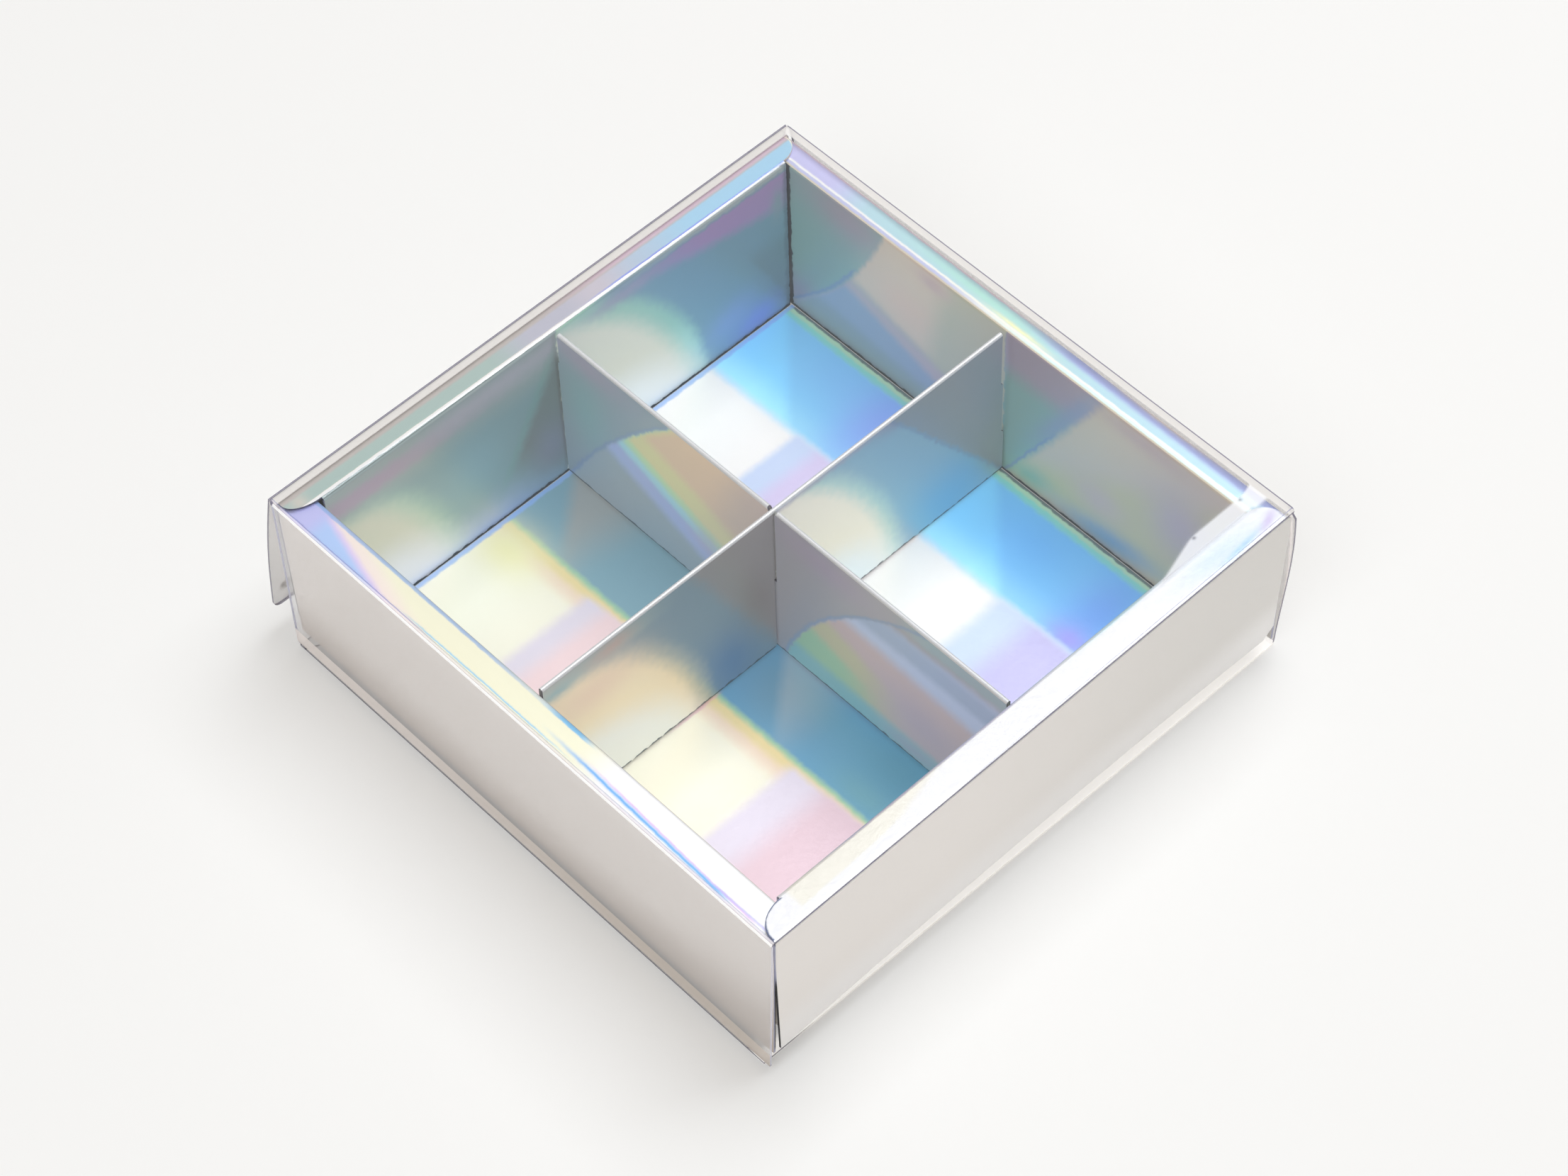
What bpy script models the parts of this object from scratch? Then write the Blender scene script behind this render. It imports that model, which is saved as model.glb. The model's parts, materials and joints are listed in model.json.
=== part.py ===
# A flat gift box with four compartments: a tray folded from one sheet of silver card, two crossed card dividers
# and a sleeve of clear film with a flap at one end.
# Metres, +Z up. The origin is the middle of the sleeve's underside. The tray slides out towards -Y and the end
# flap hangs at the +Y end. In the names below, front is -X and -Y, right is +X, left is -X, back is +X and +Y:
# the four sides of the box are front left (-X), front right (-Y), back left (+Y) and back right (+X).
import math
from collections import namedtuple

import bmesh
import bpy

# Sheets and clearances
CARD = 0.00035
FILM = 0.0003
PLY = 0.00025
GAP = 0.0003
CARD_FOLD_RADIUS = 0.0002
FILM_FOLD_RADIUS = 0.0002
BEND_STEPS = 5
OVERRUN = 0.002

# Tray, measured over the outer faces of its skirts and from the floor's underside to the upper rims
TRAY_WIDTH = 0.0908
TRAY_LENGTH = 0.0926
TRAY_HEIGHT = 0.0298
SKIRT_LIFT = 0.0021
SKIRT_CORNER_GAP = 0.0003
SKIRT_CORNER_TAPER = 0.0003
SKIRT_CHAMFER = 0.0018
RIM_FRONT_LEFT = 0.0046
RIM_FRONT_RIGHT = 0.0049
RIM_BACK_LEFT = 0.0040
RIM_BACK_RIGHT = 0.0037
LOBE_INSET = 0.00015
LOBE_FLAT_SHARE = 0.3
LOBE_STEPS = 10
RIM_CORNER_CUT = 0.0012
TAB_LENGTH = 0.009
TAB_FOOT = 0.002
TAB_HEAD = 0.004
TAB_BEVEL = 0.0015

# Divider strips, each folded over itself at the top
PLY_SLIT = 0.0002
DIVIDER_DROP = 0.0001
DIVIDER_LONG_SHIFT = 0.0008
DIVIDER_CROSS_SHIFT = -0.0007
SLOT_PLAY = 0.0007
SLOT_SLACK = 0.0006
SLOT_MOUTH_BEVEL = 0.0003
SLOT_MOUTH_DEPTH = 0.0006
RELIEF_SLOPE = 0.0003
LONG_UPPER_RELIEF = 0.0007
LONG_UPPER_RELIEF_HEIGHT = 0.0107
LONG_LOWER_RELIEF = 0.00035
LONG_LOWER_RELIEF_HEIGHT = 0.0103
CROSS_RELIEF = 0.0003
CROSS_RELIEF_HEIGHT = 0.0059

# Sleeve
SLEEVE_SIDE_PLAY = 0.0002
SLEEVE_OVERHANG = 0.0002
SLEEVE_BOW = 0.0012
BOW_PEAK_SHARE = 0.62
BOW_STEPS = 14
SLEEVE_CORNER_BEVEL = 0.0013
BOTTOM_EDGE_INSET = 0.0003
BOTTOM_FRONT_RECESS = 0.0020
GLUE_TAB_WIDTH = 0.008
GLUE_TAB_BEVEL = 0.004
GLUE_TAB_FRONT_SETBACK = 0.0055
GLUE_TAB_BACK_SETBACK = 0.0015
GLUE_TAB_NOTCH = 0.0003

# End flap
FLAP_LENGTH = 0.0278
FLAP_SIDE_INSET = 0.0002
FLAP_CORNER_RADIUS = 0.002
FLAP_CORNER_STEPS = 6
FLAP_BOW = 0.0011
FLAP_STEPS = 8
FLAP_TILT = math.radians(8.5)
SLIT_LENGTH = 0.0011
SLIT_WIDTH = 0.0003
SLIT_FROM_EDGE = 0.0028
SLIT_FROM_TOP = 0.0222

# Places worked out from the sizes above
CARD_BEND = CARD_FOLD_RADIUS + CARD
FILM_BEND = FILM_FOLD_RADIUS + FILM
HALF_WIDTH = TRAY_WIDTH / 2
HALF_LENGTH = TRAY_LENGTH / 2
SLEEVE_INNER_WIDTH = GAP + TRAY_WIDTH + GAP + SLEEVE_SIDE_PLAY
SLEEVE_HALF = SLEEVE_INNER_WIDTH / 2 + FILM
TRAY_X = GAP + HALF_WIDTH - SLEEVE_INNER_WIDTH / 2
GLUE_TAB_Z = FILM + GAP
FLOOR_Z = GLUE_TAB_Z + FILM + GAP
UPPER_RIM_Z = FLOOR_Z + TRAY_HEIGHT
LOWER_RIM_Z = UPPER_RIM_Z - CARD - GAP
SKIRT_Z = FLOOR_Z + SKIRT_LIFT
TOP_Z = UPPER_RIM_Z + GAP
DIVIDER_Z = FLOOR_Z + CARD + GAP
DIVIDER_TOP_Z = UPPER_RIM_Z - DIVIDER_DROP
DIVIDER_HALF = PLY + PLY_SLIT / 2
SLOT_MIDDLE_Z = (DIVIDER_Z + DIVIDER_TOP_Z) / 2
FLAP_HINGE_Y = HALF_LENGTH + SLEEVE_OVERHANG + GAP + FILM / 2
FLAP_HINGE_Z = TOP_Z + FILM / 2

# One cross-section of a folded sheet: a point on its face side, the point behind it on its back, and where the
# sheet ends along the fold.
Station = namedtuple("Station", "face back low high")


def clear_scene():
    for item in list(bpy.data.objects):
        bpy.data.objects.remove(item, do_unlink=True)


def principled(name, colour, roughness, metallic=0.0, alpha=1.0):
    material = bpy.data.materials.new(name)
    material.use_nodes = True
    shader = material.node_tree.nodes["Principled BSDF"]
    shader.inputs["Base Color"].default_value = (*colour, 1.0)
    shader.inputs["Roughness"].default_value = roughness
    shader.inputs["Metallic"].default_value = metallic
    shader.inputs["Alpha"].default_value = alpha
    return material


def empty(name, location):
    item = bpy.data.objects.new(name, None)
    item.location = location
    bpy.context.scene.collection.objects.link(item)
    return item


def object_from(bm, name, material, parent):
    bmesh.ops.recalc_face_normals(bm, faces=bm.faces[:])
    mesh = bpy.data.meshes.new(name)
    bm.to_mesh(mesh)
    bm.free()
    mesh.shade_smooth()
    mesh.set_sharp_from_angle(angle=math.radians(30))
    item = bpy.data.objects.new(name, mesh)
    item.data.materials.append(material)
    item.parent = parent
    bpy.context.scene.collection.objects.link(item)
    return item


# A folded sheet: one four-cornered ring for each station, joined ring to ring and closed at both ends. Local X
# runs along the folds, Y across the sheet's path and Z up.
def folded_sheet(stations):
    bm = bmesh.new()
    rings = []
    for face, back, low, high in stations:
        corners = ((low, *face), (high, *face), (high, *back), (low, *back))
        rings.append([bm.verts.new(corner) for corner in corners])
    for ring, following in zip(rings, rings[1:]):
        for side in range(4):
            after = (side + 1) % 4
            bm.faces.new((ring[side], ring[after], following[after], following[side]))
    bm.faces.new(reversed(rings[0]))
    bm.faces.new(rings[-1])
    return bm


# A flat plate with the given outline, from z to z plus its thickness
def flat_plate(outline, z, thickness):
    bm = bmesh.new()
    face = bm.faces.new([bm.verts.new((x, y, z)) for x, y in outline])
    risen = bmesh.ops.extrude_face_region(bm, geom=[face])
    verts = [item for item in risen["geom"] if isinstance(item, bmesh.types.BMVert)]
    bmesh.ops.translate(bm, verts=verts, vec=(0, 0, thickness))
    return bm


# Face and back points of a bend about a centre, from one angle to another
def bend(centre, inner_radius, thickness, start, end, steps=BEND_STEPS):
    pairs = []
    for step in range(steps + 1):
        angle = start + (end - start) * step / steps
        across, up = math.cos(angle), math.sin(angle)
        outer_radius = inner_radius + thickness
        face = (centre[0] + outer_radius * across, centre[1] + outer_radius * up)
        back = (centre[0] + inner_radius * across, centre[1] + inner_radius * up)
        pairs.append((face, back))
    return pairs


def carve(target, cutter_bm, name):
    cutter = object_from(cutter_bm, name, target.data.materials[0], target)
    cutter.hide_render = True
    cutter.display_type = "WIRE"
    cut = target.modifiers.new(name, "BOOLEAN")
    cut.operation = "DIFFERENCE"
    cut.solver = "EXACT"
    cut.object = cutter


# Tray

# How far one end of a side reaches along its folds, at each part of its path
SideEnd = namedtuple("SideEnd", "half neighbour_rim chamfer")


def skirt_reach(end):
    return end.half - CARD - SKIRT_CORNER_GAP


def skirt_foot_reach(end):
    return skirt_reach(end) - SKIRT_CORNER_TAPER - end.chamfer


# The inner wall of an upper side stops at its neighbour's face. That of a lower side runs on behind its
# neighbour's wall, where its glue tab folds.
def wall_reach(end, upper):
    face = end.half - end.neighbour_rim
    if upper:
        return face - GAP
    return face + CARD + GAP + CARD


# The rounded end of an upper rim, which lies over the end of its lower neighbour
def lobe_reach(end, turn):
    inner = wall_reach(end, True)
    return inner + (end.half - LOBE_INSET - inner) * math.cos(turn)


def rim_end_reach(end):
    return end.half - CARD - GAP


def tray_side(name, rim, upper, ends, material, parent):
    top = UPPER_RIM_Z if upper else LOWER_RIM_Z
    flat_start = CARD_BEND
    flat_end = rim - CARD_BEND
    stations = []

    def add(face, back, low, high):
        stations.append(Station(face, back, -low, high))

    # Skirt, with its lower corners tapered back and cut off where the sheet has a chamfer
    low, high = ends
    add((0, SKIRT_Z), (CARD, SKIRT_Z), skirt_foot_reach(low), skirt_foot_reach(high))
    chamfer_z = SKIRT_Z + SKIRT_CHAMFER
    taper = SKIRT_CORNER_TAPER
    add((0, chamfer_z), (CARD, chamfer_z), skirt_reach(low) - taper, skirt_reach(high) - taper)

    # Fold from the skirt to the rim
    rim_low = lobe_reach(low, 0) if upper else rim_end_reach(low)
    rim_high = lobe_reach(high, 0) if upper else rim_end_reach(high)
    for step, (face, back) in enumerate(bend((flat_start, top - CARD_BEND), CARD_FOLD_RADIUS, CARD, math.pi, math.pi / 2)):
        share = step / BEND_STEPS
        reach_low = skirt_reach(low) + (rim_low - skirt_reach(low)) * share
        reach_high = skirt_reach(high) + (rim_high - skirt_reach(high)) * share
        add(face, back, reach_low, reach_high)

    # Rim, with rounded ends on the upper sides and cut corners on the lower ones
    if upper:
        lobe_start = flat_start + (flat_end - flat_start) * LOBE_FLAT_SHARE
        for step in range(LOBE_STEPS):
            turn = math.pi / 2 * step / LOBE_STEPS
            across = lobe_start + (flat_end - lobe_start) * math.sin(turn)
            add((across, top), (across, top - CARD), lobe_reach(low, turn), lobe_reach(high, turn))
    else:
        across = flat_end - RIM_CORNER_CUT
        add((across, top), (across, top - CARD), rim_low, rim_high)

    # Fold from the rim to the inner wall, and the wall down to the floor's underside
    wall_low = wall_reach(low, upper)
    wall_high = wall_reach(high, upper)
    for face, back in bend((flat_end, top - CARD_BEND), CARD_FOLD_RADIUS, CARD, math.pi / 2, 0):
        add(face, back, wall_low, wall_high)
    tab_top = top - TAB_HEAD
    tab_foot = FLOOR_Z + TAB_FOOT
    for z in (tab_top, tab_foot, FLOOR_Z):
        add((rim, z), (rim - CARD, z), wall_low, wall_high)

    bm = folded_sheet(stations)
    if not upper:
        add_tab(bm, rim, -wall_low, CARD, tab_foot, tab_top)
        add_tab(bm, rim, wall_high, -CARD, tab_foot, tab_top)
    return object_from(bm, name, material, parent)


# A glue tab: the last strip of the inner wall is drawn out square to it, along the back of the neighbour's wall,
# with both corners of its free end cut off.
def add_tab(bm, wall, wall_end, inward, foot, top):
    fold = wall_end + inward
    geometry = bm.verts[:] + bm.edges[:] + bm.faces[:]
    bmesh.ops.bisect_plane(bm, geom=geometry, plane_co=(fold, 0, 0), plane_no=(1, 0, 0))
    middle = ((wall_end + fold) / 2, wall, (foot + top) / 2)

    def distance(face):
        centre = face.calc_center_median()
        return sum((a - b) ** 2 for a, b in zip(centre, middle))

    root = min(bm.faces, key=distance)
    drawn = bmesh.ops.extrude_face_region(bm, geom=[root])
    bmesh.ops.delete(bm, geom=[root], context="FACES_ONLY")
    for vert in drawn["geom"]:
        if isinstance(vert, bmesh.types.BMVert):
            vert.co.y += TAB_LENGTH
            vert.co.z += TAB_BEVEL if vert.co.z < middle[2] else -TAB_BEVEL


def build_tray(parent):
    card = principled("silver_card", (0.62, 0.66, 0.70), 0.32, 0.75)
    rims = (RIM_FRONT_RIGHT, RIM_BACK_RIGHT, RIM_BACK_LEFT, RIM_FRONT_LEFT)
    names = ("tray_side_front_right", "tray_side_back_right", "tray_side_back_left", "tray_side_front_left")
    chamfers = ((0, SKIRT_CHAMFER), (0, 0), (0, SKIRT_CHAMFER), (0, 0))
    halves = (HALF_WIDTH, HALF_LENGTH, HALF_WIDTH, HALF_LENGTH)
    for turn in range(4):
        half = halves[turn]
        out = halves[(turn + 1) % 4]
        before = SideEnd(half, rims[turn - 1], chamfers[turn][0])
        after = SideEnd(half, rims[(turn + 1) % 4], chamfers[turn][1])
        angle = turn * math.pi / 2
        side = tray_side(names[turn], rims[turn], turn % 2 == 0, (before, after), card, parent)
        side.location = (out * math.sin(angle), -out * math.cos(angle), 0)
        side.rotation_euler = (0, 0, angle)

    left = -HALF_WIDTH + RIM_FRONT_LEFT + GAP
    right = HALF_WIDTH - RIM_BACK_RIGHT - GAP
    front = -HALF_LENGTH + RIM_FRONT_RIGHT + GAP
    back = HALF_LENGTH - RIM_BACK_LEFT - GAP
    outline = ((left, front), (right, front), (right, back), (left, back))
    floor_card = principled("silver_card_floor", (0.45, 0.62, 0.80), 0.30, 0.75)
    object_from(flat_plate(outline, FLOOR_Z, CARD), "tray_floor", floor_card, parent)


# Dividers

# An end relief is a list of (height above which it applies, how much shorter the strip is there)
def end_reach(reach, reliefs, z):
    shortened = [inset for floor, inset in reliefs if z > floor]
    return reach - (shortened[-1] if shortened else 0)


def divider_heights(reliefs):
    heights = [DIVIDER_Z]
    for floor, _ in sorted(reliefs):
        heights += [floor, floor + RELIEF_SLOPE]
    return heights


def divider_strip(name, low, high, high_reliefs, material, parent):
    shoulder = DIVIDER_TOP_Z - DIVIDER_HALF
    heights = divider_heights(high_reliefs)
    slit = PLY_SLIT / 2
    pairs = [((-DIVIDER_HALF, z), (-slit, z)) for z in heights]
    pairs += bend((0, shoulder), slit, PLY, math.pi, 0, 2 * BEND_STEPS)
    pairs += [((DIVIDER_HALF, z), (slit, z)) for z in reversed(heights)]
    stations = [Station(face, back, -low, end_reach(high, high_reliefs, face[1])) for face, back in pairs]
    return object_from(folded_sheet(stations), name, material, parent)


# The cutter for a slot with a flared mouth. Direction is 1 for a mouth at the top and -1 for one at the bottom.
def slot_cutter(along, floor, mouth, direction):
    half = DIVIDER_HALF + SLOT_PLAY
    flare = half + SLOT_MOUTH_BEVEL
    throat = mouth - direction * SLOT_MOUTH_DEPTH
    past = mouth + direction * OVERRUN
    outline = ((-half, floor), (half, floor), (half, throat), (flare, mouth), (flare, past),
               (-flare, past), (-flare, mouth), (-half, throat))
    depth = DIVIDER_HALF + OVERRUN
    bm = bmesh.new()
    face = bm.faces.new([bm.verts.new((along + x, -depth, z)) for x, z in outline])
    risen = bmesh.ops.extrude_face_region(bm, geom=[face])
    verts = [item for item in risen["geom"] if isinstance(item, bmesh.types.BMVert)]
    bmesh.ops.translate(bm, verts=verts, vec=(0, 2 * depth, 0))
    return bm


def build_dividers(parent):
    card = principled("divider_card", (0.68, 0.72, 0.74), 0.30, 0.8)

    left = HALF_WIDTH - RIM_FRONT_LEFT - GAP
    right = HALF_WIDTH - RIM_BACK_RIGHT - GAP
    upper_floor = DIVIDER_TOP_Z - LONG_UPPER_RELIEF_HEIGHT
    lower_floor = upper_floor - LONG_LOWER_RELIEF_HEIGHT
    reliefs = ((lower_floor, LONG_LOWER_RELIEF), (upper_floor, LONG_UPPER_RELIEF))
    long_strip = divider_strip("divider_long", left, right, reliefs, card, parent)
    long_strip.location = (0, DIVIDER_LONG_SHIFT, 0)
    ceiling = SLOT_MIDDLE_Z + SLOT_SLACK / 2
    carve(long_strip, slot_cutter(DIVIDER_CROSS_SHIFT, ceiling, DIVIDER_Z, -1), "long_slot")

    front = HALF_LENGTH - RIM_FRONT_RIGHT - GAP
    back = HALF_LENGTH - RIM_BACK_LEFT - GAP
    reliefs = ((DIVIDER_TOP_Z - CROSS_RELIEF_HEIGHT, CROSS_RELIEF),)
    cross_strip = divider_strip("divider_cross", front, back, reliefs, card, parent)
    cross_strip.location = (DIVIDER_CROSS_SHIFT, 0, 0)
    cross_strip.rotation_euler = (0, 0, math.pi / 2)
    floor = SLOT_MIDDLE_Z - SLOT_SLACK / 2
    carve(cross_strip, slot_cutter(DIVIDER_LONG_SHIFT, floor, DIVIDER_TOP_Z, 1), "cross_slot")


# Sleeve

def build_sleeve(parent):
    film = principled("clear_film", (0.93, 0.95, 0.96), 0.08, 0.0, 0.25)
    crease = SLEEVE_HALF - FILM_BEND
    panel_edge = crease - GAP
    top_end = HALF_LENGTH + SLEEVE_OVERHANG

    # Top panel, which runs on a little past the side walls
    outline = ((-panel_edge, -HALF_LENGTH), (panel_edge, -HALF_LENGTH), (panel_edge, top_end), (-panel_edge, top_end))
    object_from(flat_plate(outline, TOP_Z, FILM), "sleeve_top", film, parent)

    # Bottom panel, its front edge cut back on the left
    bottom_left = -SLEEVE_HALF + BOTTOM_EDGE_INSET
    outline = ((bottom_left, -HALF_LENGTH + BOTTOM_FRONT_RECESS), (panel_edge, -HALF_LENGTH),
               (panel_edge, HALF_LENGTH), (bottom_left, HALF_LENGTH))
    object_from(flat_plate(outline, 0, FILM), "sleeve_bottom", film, parent)

    # Left wall: crease under the top panel, wall, crease and the glue tab folded in over the bottom panel. Its
    # local X runs to the back, its local Y to the left.
    crease_top = TOP_Z + FILM - FILM_BEND
    crease_foot = GLUE_TAB_Z + FILM_BEND
    half = HALF_LENGTH
    stations = []
    for face, back in bend((-FILM_BEND, crease_top), FILM_FOLD_RADIUS, FILM, math.pi / 2, 0):
        stations.append(Station(face, back, -half, half))
    wall_foot = crease_foot + GLUE_TAB_NOTCH
    stations.append(Station((0, wall_foot), (-FILM, wall_foot), -half, half))
    for face, back in bend((-FILM_BEND, crease_foot), FILM_FOLD_RADIUS, FILM, 0, -math.pi / 2):
        stations.append(Station(face, back, -half + GLUE_TAB_FRONT_SETBACK, half - GLUE_TAB_BACK_SETBACK))
    tab_edge = -FILM_BEND - GLUE_TAB_WIDTH
    tab_low = -half + GLUE_TAB_FRONT_SETBACK + GLUE_TAB_BEVEL
    tab_high = half - GLUE_TAB_BACK_SETBACK - GLUE_TAB_BEVEL
    stations.append(Station((tab_edge, GLUE_TAB_Z), (tab_edge, GLUE_TAB_Z + FILM), tab_low, tab_high))
    left_wall = object_from(folded_sheet(stations), "sleeve_left_wall", film, parent)
    left_wall.location = (-SLEEVE_HALF, 0, 0)
    left_wall.rotation_euler = (0, 0, math.pi / 2)

    # Right wall, bowed out by its own spring, with the top corner at the open end cut off
    stations = []
    top_bend = bend((FILM_BEND, crease_top), FILM_FOLD_RADIUS, FILM, math.pi / 2, math.pi)
    for step, (face, back) in enumerate(top_bend):
        cut = SLEEVE_CORNER_BEVEL * (1 - step / BEND_STEPS)
        stations.append(Station(face, back, -half + cut, half))
    power = math.log(0.5) / math.log(BOW_PEAK_SHARE)
    foot = FILM_BEND
    for step in range(1, BOW_STEPS):
        height_share = 1 - step / BOW_STEPS
        z = foot + (crease_top - foot) * height_share
        out = SLEEVE_BOW * math.sin(math.pi * height_share ** power)
        stations.append(Station((-out, z), (FILM - out, z), -half, half))
    for face, back in bend((FILM_BEND, foot), FILM_FOLD_RADIUS, FILM, math.pi, 3 * math.pi / 2):
        stations.append(Station(face, back, -half, half))
    right_wall = object_from(folded_sheet(stations), "sleeve_right_wall", film, parent)
    right_wall.location = (SLEEVE_HALF, 0, 0)
    right_wall.rotation_euler = (0, 0, math.pi / 2)


# The flap hangs from a rounded bead on its hinge line, bows outwards and narrows to rounded corners at its free
# edge. Its local X runs along the hinge, which is its origin.
def build_flap():
    film = principled("clear_film_flap", (0.93, 0.95, 0.96), 0.08, 0.0, 0.25)
    half = SLEEVE_HALF - FLAP_SIDE_INSET
    bead = FILM / 2
    stations = []
    for step in range(1, BEND_STEPS + 1):
        angle = math.pi / 2 * step / BEND_STEPS
        across, up = bead * math.sin(angle), bead * math.cos(angle)
        stations.append(Station((across, up), (-across, up), -half, half))
    corner_z = -FLAP_LENGTH + FLAP_CORNER_RADIUS
    places = [(corner_z * step / FLAP_STEPS, half) for step in range(1, FLAP_STEPS)]
    for step in range(FLAP_CORNER_STEPS + 1):
        angle = math.pi / 2 * step / FLAP_CORNER_STEPS
        reach = half - FLAP_CORNER_RADIUS * (1 - math.cos(angle))
        places.append((corner_z - FLAP_CORNER_RADIUS * math.sin(angle), reach))
    for z, reach in places:
        out = FLAP_BOW * math.sin(math.pi * z / -FLAP_LENGTH)
        stations.append(Station((out + bead, z), (out - bead, z), -reach, reach))
    flap = object_from(folded_sheet(stations), "end_flap", film, None)
    flap.location = (0, FLAP_HINGE_Y, FLAP_HINGE_Z)
    flap.rotation_euler = (FLAP_TILT, 0, 0)

    # Small die-cut slit near the left edge
    slit_x = -half + SLIT_FROM_EDGE
    outline = [(slit_x + x * SLIT_LENGTH / 2, y * (bead + OVERRUN)) for x, y in ((-1, -1), (1, -1), (1, 1), (-1, 1))]
    carve(flap, flat_plate(outline, -SLIT_FROM_TOP, SLIT_WIDTH), "flap_slit")


# Shading that keeps the flat panels flat beside their rounded folds
def keep_panels_flat():
    for item in bpy.data.objects:
        if item.type == "MESH" and not item.hide_render:
            weighted = item.modifiers.new("panel_shading", "WEIGHTED_NORMAL")
            weighted.keep_sharp = True


clear_scene()
sleeve_frame = empty("sleeve_frame", (0, 0, 0))
tray_runner = empty("tray_runner", (TRAY_X, 0, 0))
build_tray(tray_runner)
build_dividers(tray_runner)
build_sleeve(sleeve_frame)
build_flap()
keep_panels_flat()
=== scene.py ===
import json
import math

import bmesh
import bpy
from mathutils import Matrix, Vector


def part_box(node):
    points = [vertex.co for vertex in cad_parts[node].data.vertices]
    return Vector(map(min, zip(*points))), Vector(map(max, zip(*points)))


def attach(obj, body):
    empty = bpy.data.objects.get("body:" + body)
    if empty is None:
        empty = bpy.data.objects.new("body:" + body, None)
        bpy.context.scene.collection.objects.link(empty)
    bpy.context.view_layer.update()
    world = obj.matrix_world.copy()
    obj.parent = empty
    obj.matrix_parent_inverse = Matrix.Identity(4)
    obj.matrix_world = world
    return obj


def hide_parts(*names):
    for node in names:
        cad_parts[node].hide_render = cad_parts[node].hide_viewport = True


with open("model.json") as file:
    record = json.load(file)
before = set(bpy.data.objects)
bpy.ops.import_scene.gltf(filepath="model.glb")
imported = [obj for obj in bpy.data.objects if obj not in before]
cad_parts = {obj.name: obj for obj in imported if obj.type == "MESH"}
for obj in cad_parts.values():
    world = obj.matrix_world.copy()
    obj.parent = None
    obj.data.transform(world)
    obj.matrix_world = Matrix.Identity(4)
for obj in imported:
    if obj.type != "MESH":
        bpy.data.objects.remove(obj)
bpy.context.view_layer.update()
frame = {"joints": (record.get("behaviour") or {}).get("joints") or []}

print("stage: frame loaded")

mm = 0.001


# Shader maths

class Value:  # one shader socket, so that sums on it read as Python
    def __init__(self, graph, socket):
        self.graph = graph
        self.socket = socket

    def maths(self, operation, *others):
        inputs = dict(enumerate((self, *others)))
        return self.graph.node("ShaderNodeMath", {"operation": operation}, inputs)

    def swapped(self, operation, other):
        return self.graph.node("ShaderNodeMath", {"operation": operation}, {0: other, 1: self})

    def __add__(self, other):
        return self.maths("ADD", other)

    def __sub__(self, other):
        return self.maths("SUBTRACT", other)

    def __mul__(self, other):
        return self.maths("MULTIPLY", other)

    def __pow__(self, other):
        return self.maths("POWER", other)

    def __neg__(self):
        return self.maths("MULTIPLY", -1.0)

    def __rsub__(self, other):
        return self.swapped("SUBTRACT", other)

    def __rpow__(self, other):
        return self.swapped("POWER", other)

    __radd__ = __add__
    __rmul__ = __mul__


class Finish:  # a material and its nodes
    def __init__(self, name):
        self.material = bpy.data.materials.new(name)
        self.material.use_nodes = True
        self.tree = self.material.node_tree
        self.tree.nodes.clear()

    def node(self, kind, settings=None, inputs=None, output=0):
        made = self.tree.nodes.new(kind)
        for key, setting in (settings or {}).items():
            setattr(made, key, setting)
        for key, entry in (inputs or {}).items():
            if isinstance(entry, Value):
                self.tree.links.new(entry.socket, made.inputs[key])
            else:
                made.inputs[key].default_value = entry
        return Value(self, made.outputs[output]) if made.outputs else None

    def place(self):  # the point on the piece, in millimetres, as three values
        coords = self.node("ShaderNodeTexCoord", output=3)
        scaled = self.node("ShaderNodeVectorMath", {"operation": "SCALE"}, {0: coords, "Scale": 1 / mm})
        split = [self.node("ShaderNodeSeparateXYZ", None, {0: scaled}, axis) for axis in range(3)]
        return scaled, split

    def noise(self, vector, scale, detail, rough):
        inputs = {"Vector": vector, "Scale": scale, "Detail": detail, "Roughness": rough}
        return self.node("ShaderNodeTexNoise", None, inputs)

    def blend(self, first, second, factor):
        inputs = {0: factor, 6: first, 7: second}
        return self.node("ShaderNodeMix", {"data_type": "RGBA"}, inputs, 2)

    def ramp(self, value, low, high):  # 0 below low and 1 above high, eased between
        settings = {"interpolation_type": "SMOOTHSTEP"}
        return self.node("ShaderNodeMapRange", settings, {"Value": value, "From Min": low, "From Max": high})

    def bump(self, height, distance, strength):
        inputs = {"Height": height, "Distance": distance, "Strength": strength}
        return self.node("ShaderNodeBump", None, inputs)

    def finish(self, shader):
        self.node("ShaderNodeOutputMaterial", None, {"Surface": shader})
        return self.material


def shade(text):  # a colour as it shows on screen, in the renderer's linear values
    channels = [int(text[i:i + 2], 16) / 255 for i in (1, 3, 5)]
    return (*[c / 12.92 if c <= 0.04045 else ((c + 0.055) / 1.055) ** 2.4 for c in channels], 1.0)


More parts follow.
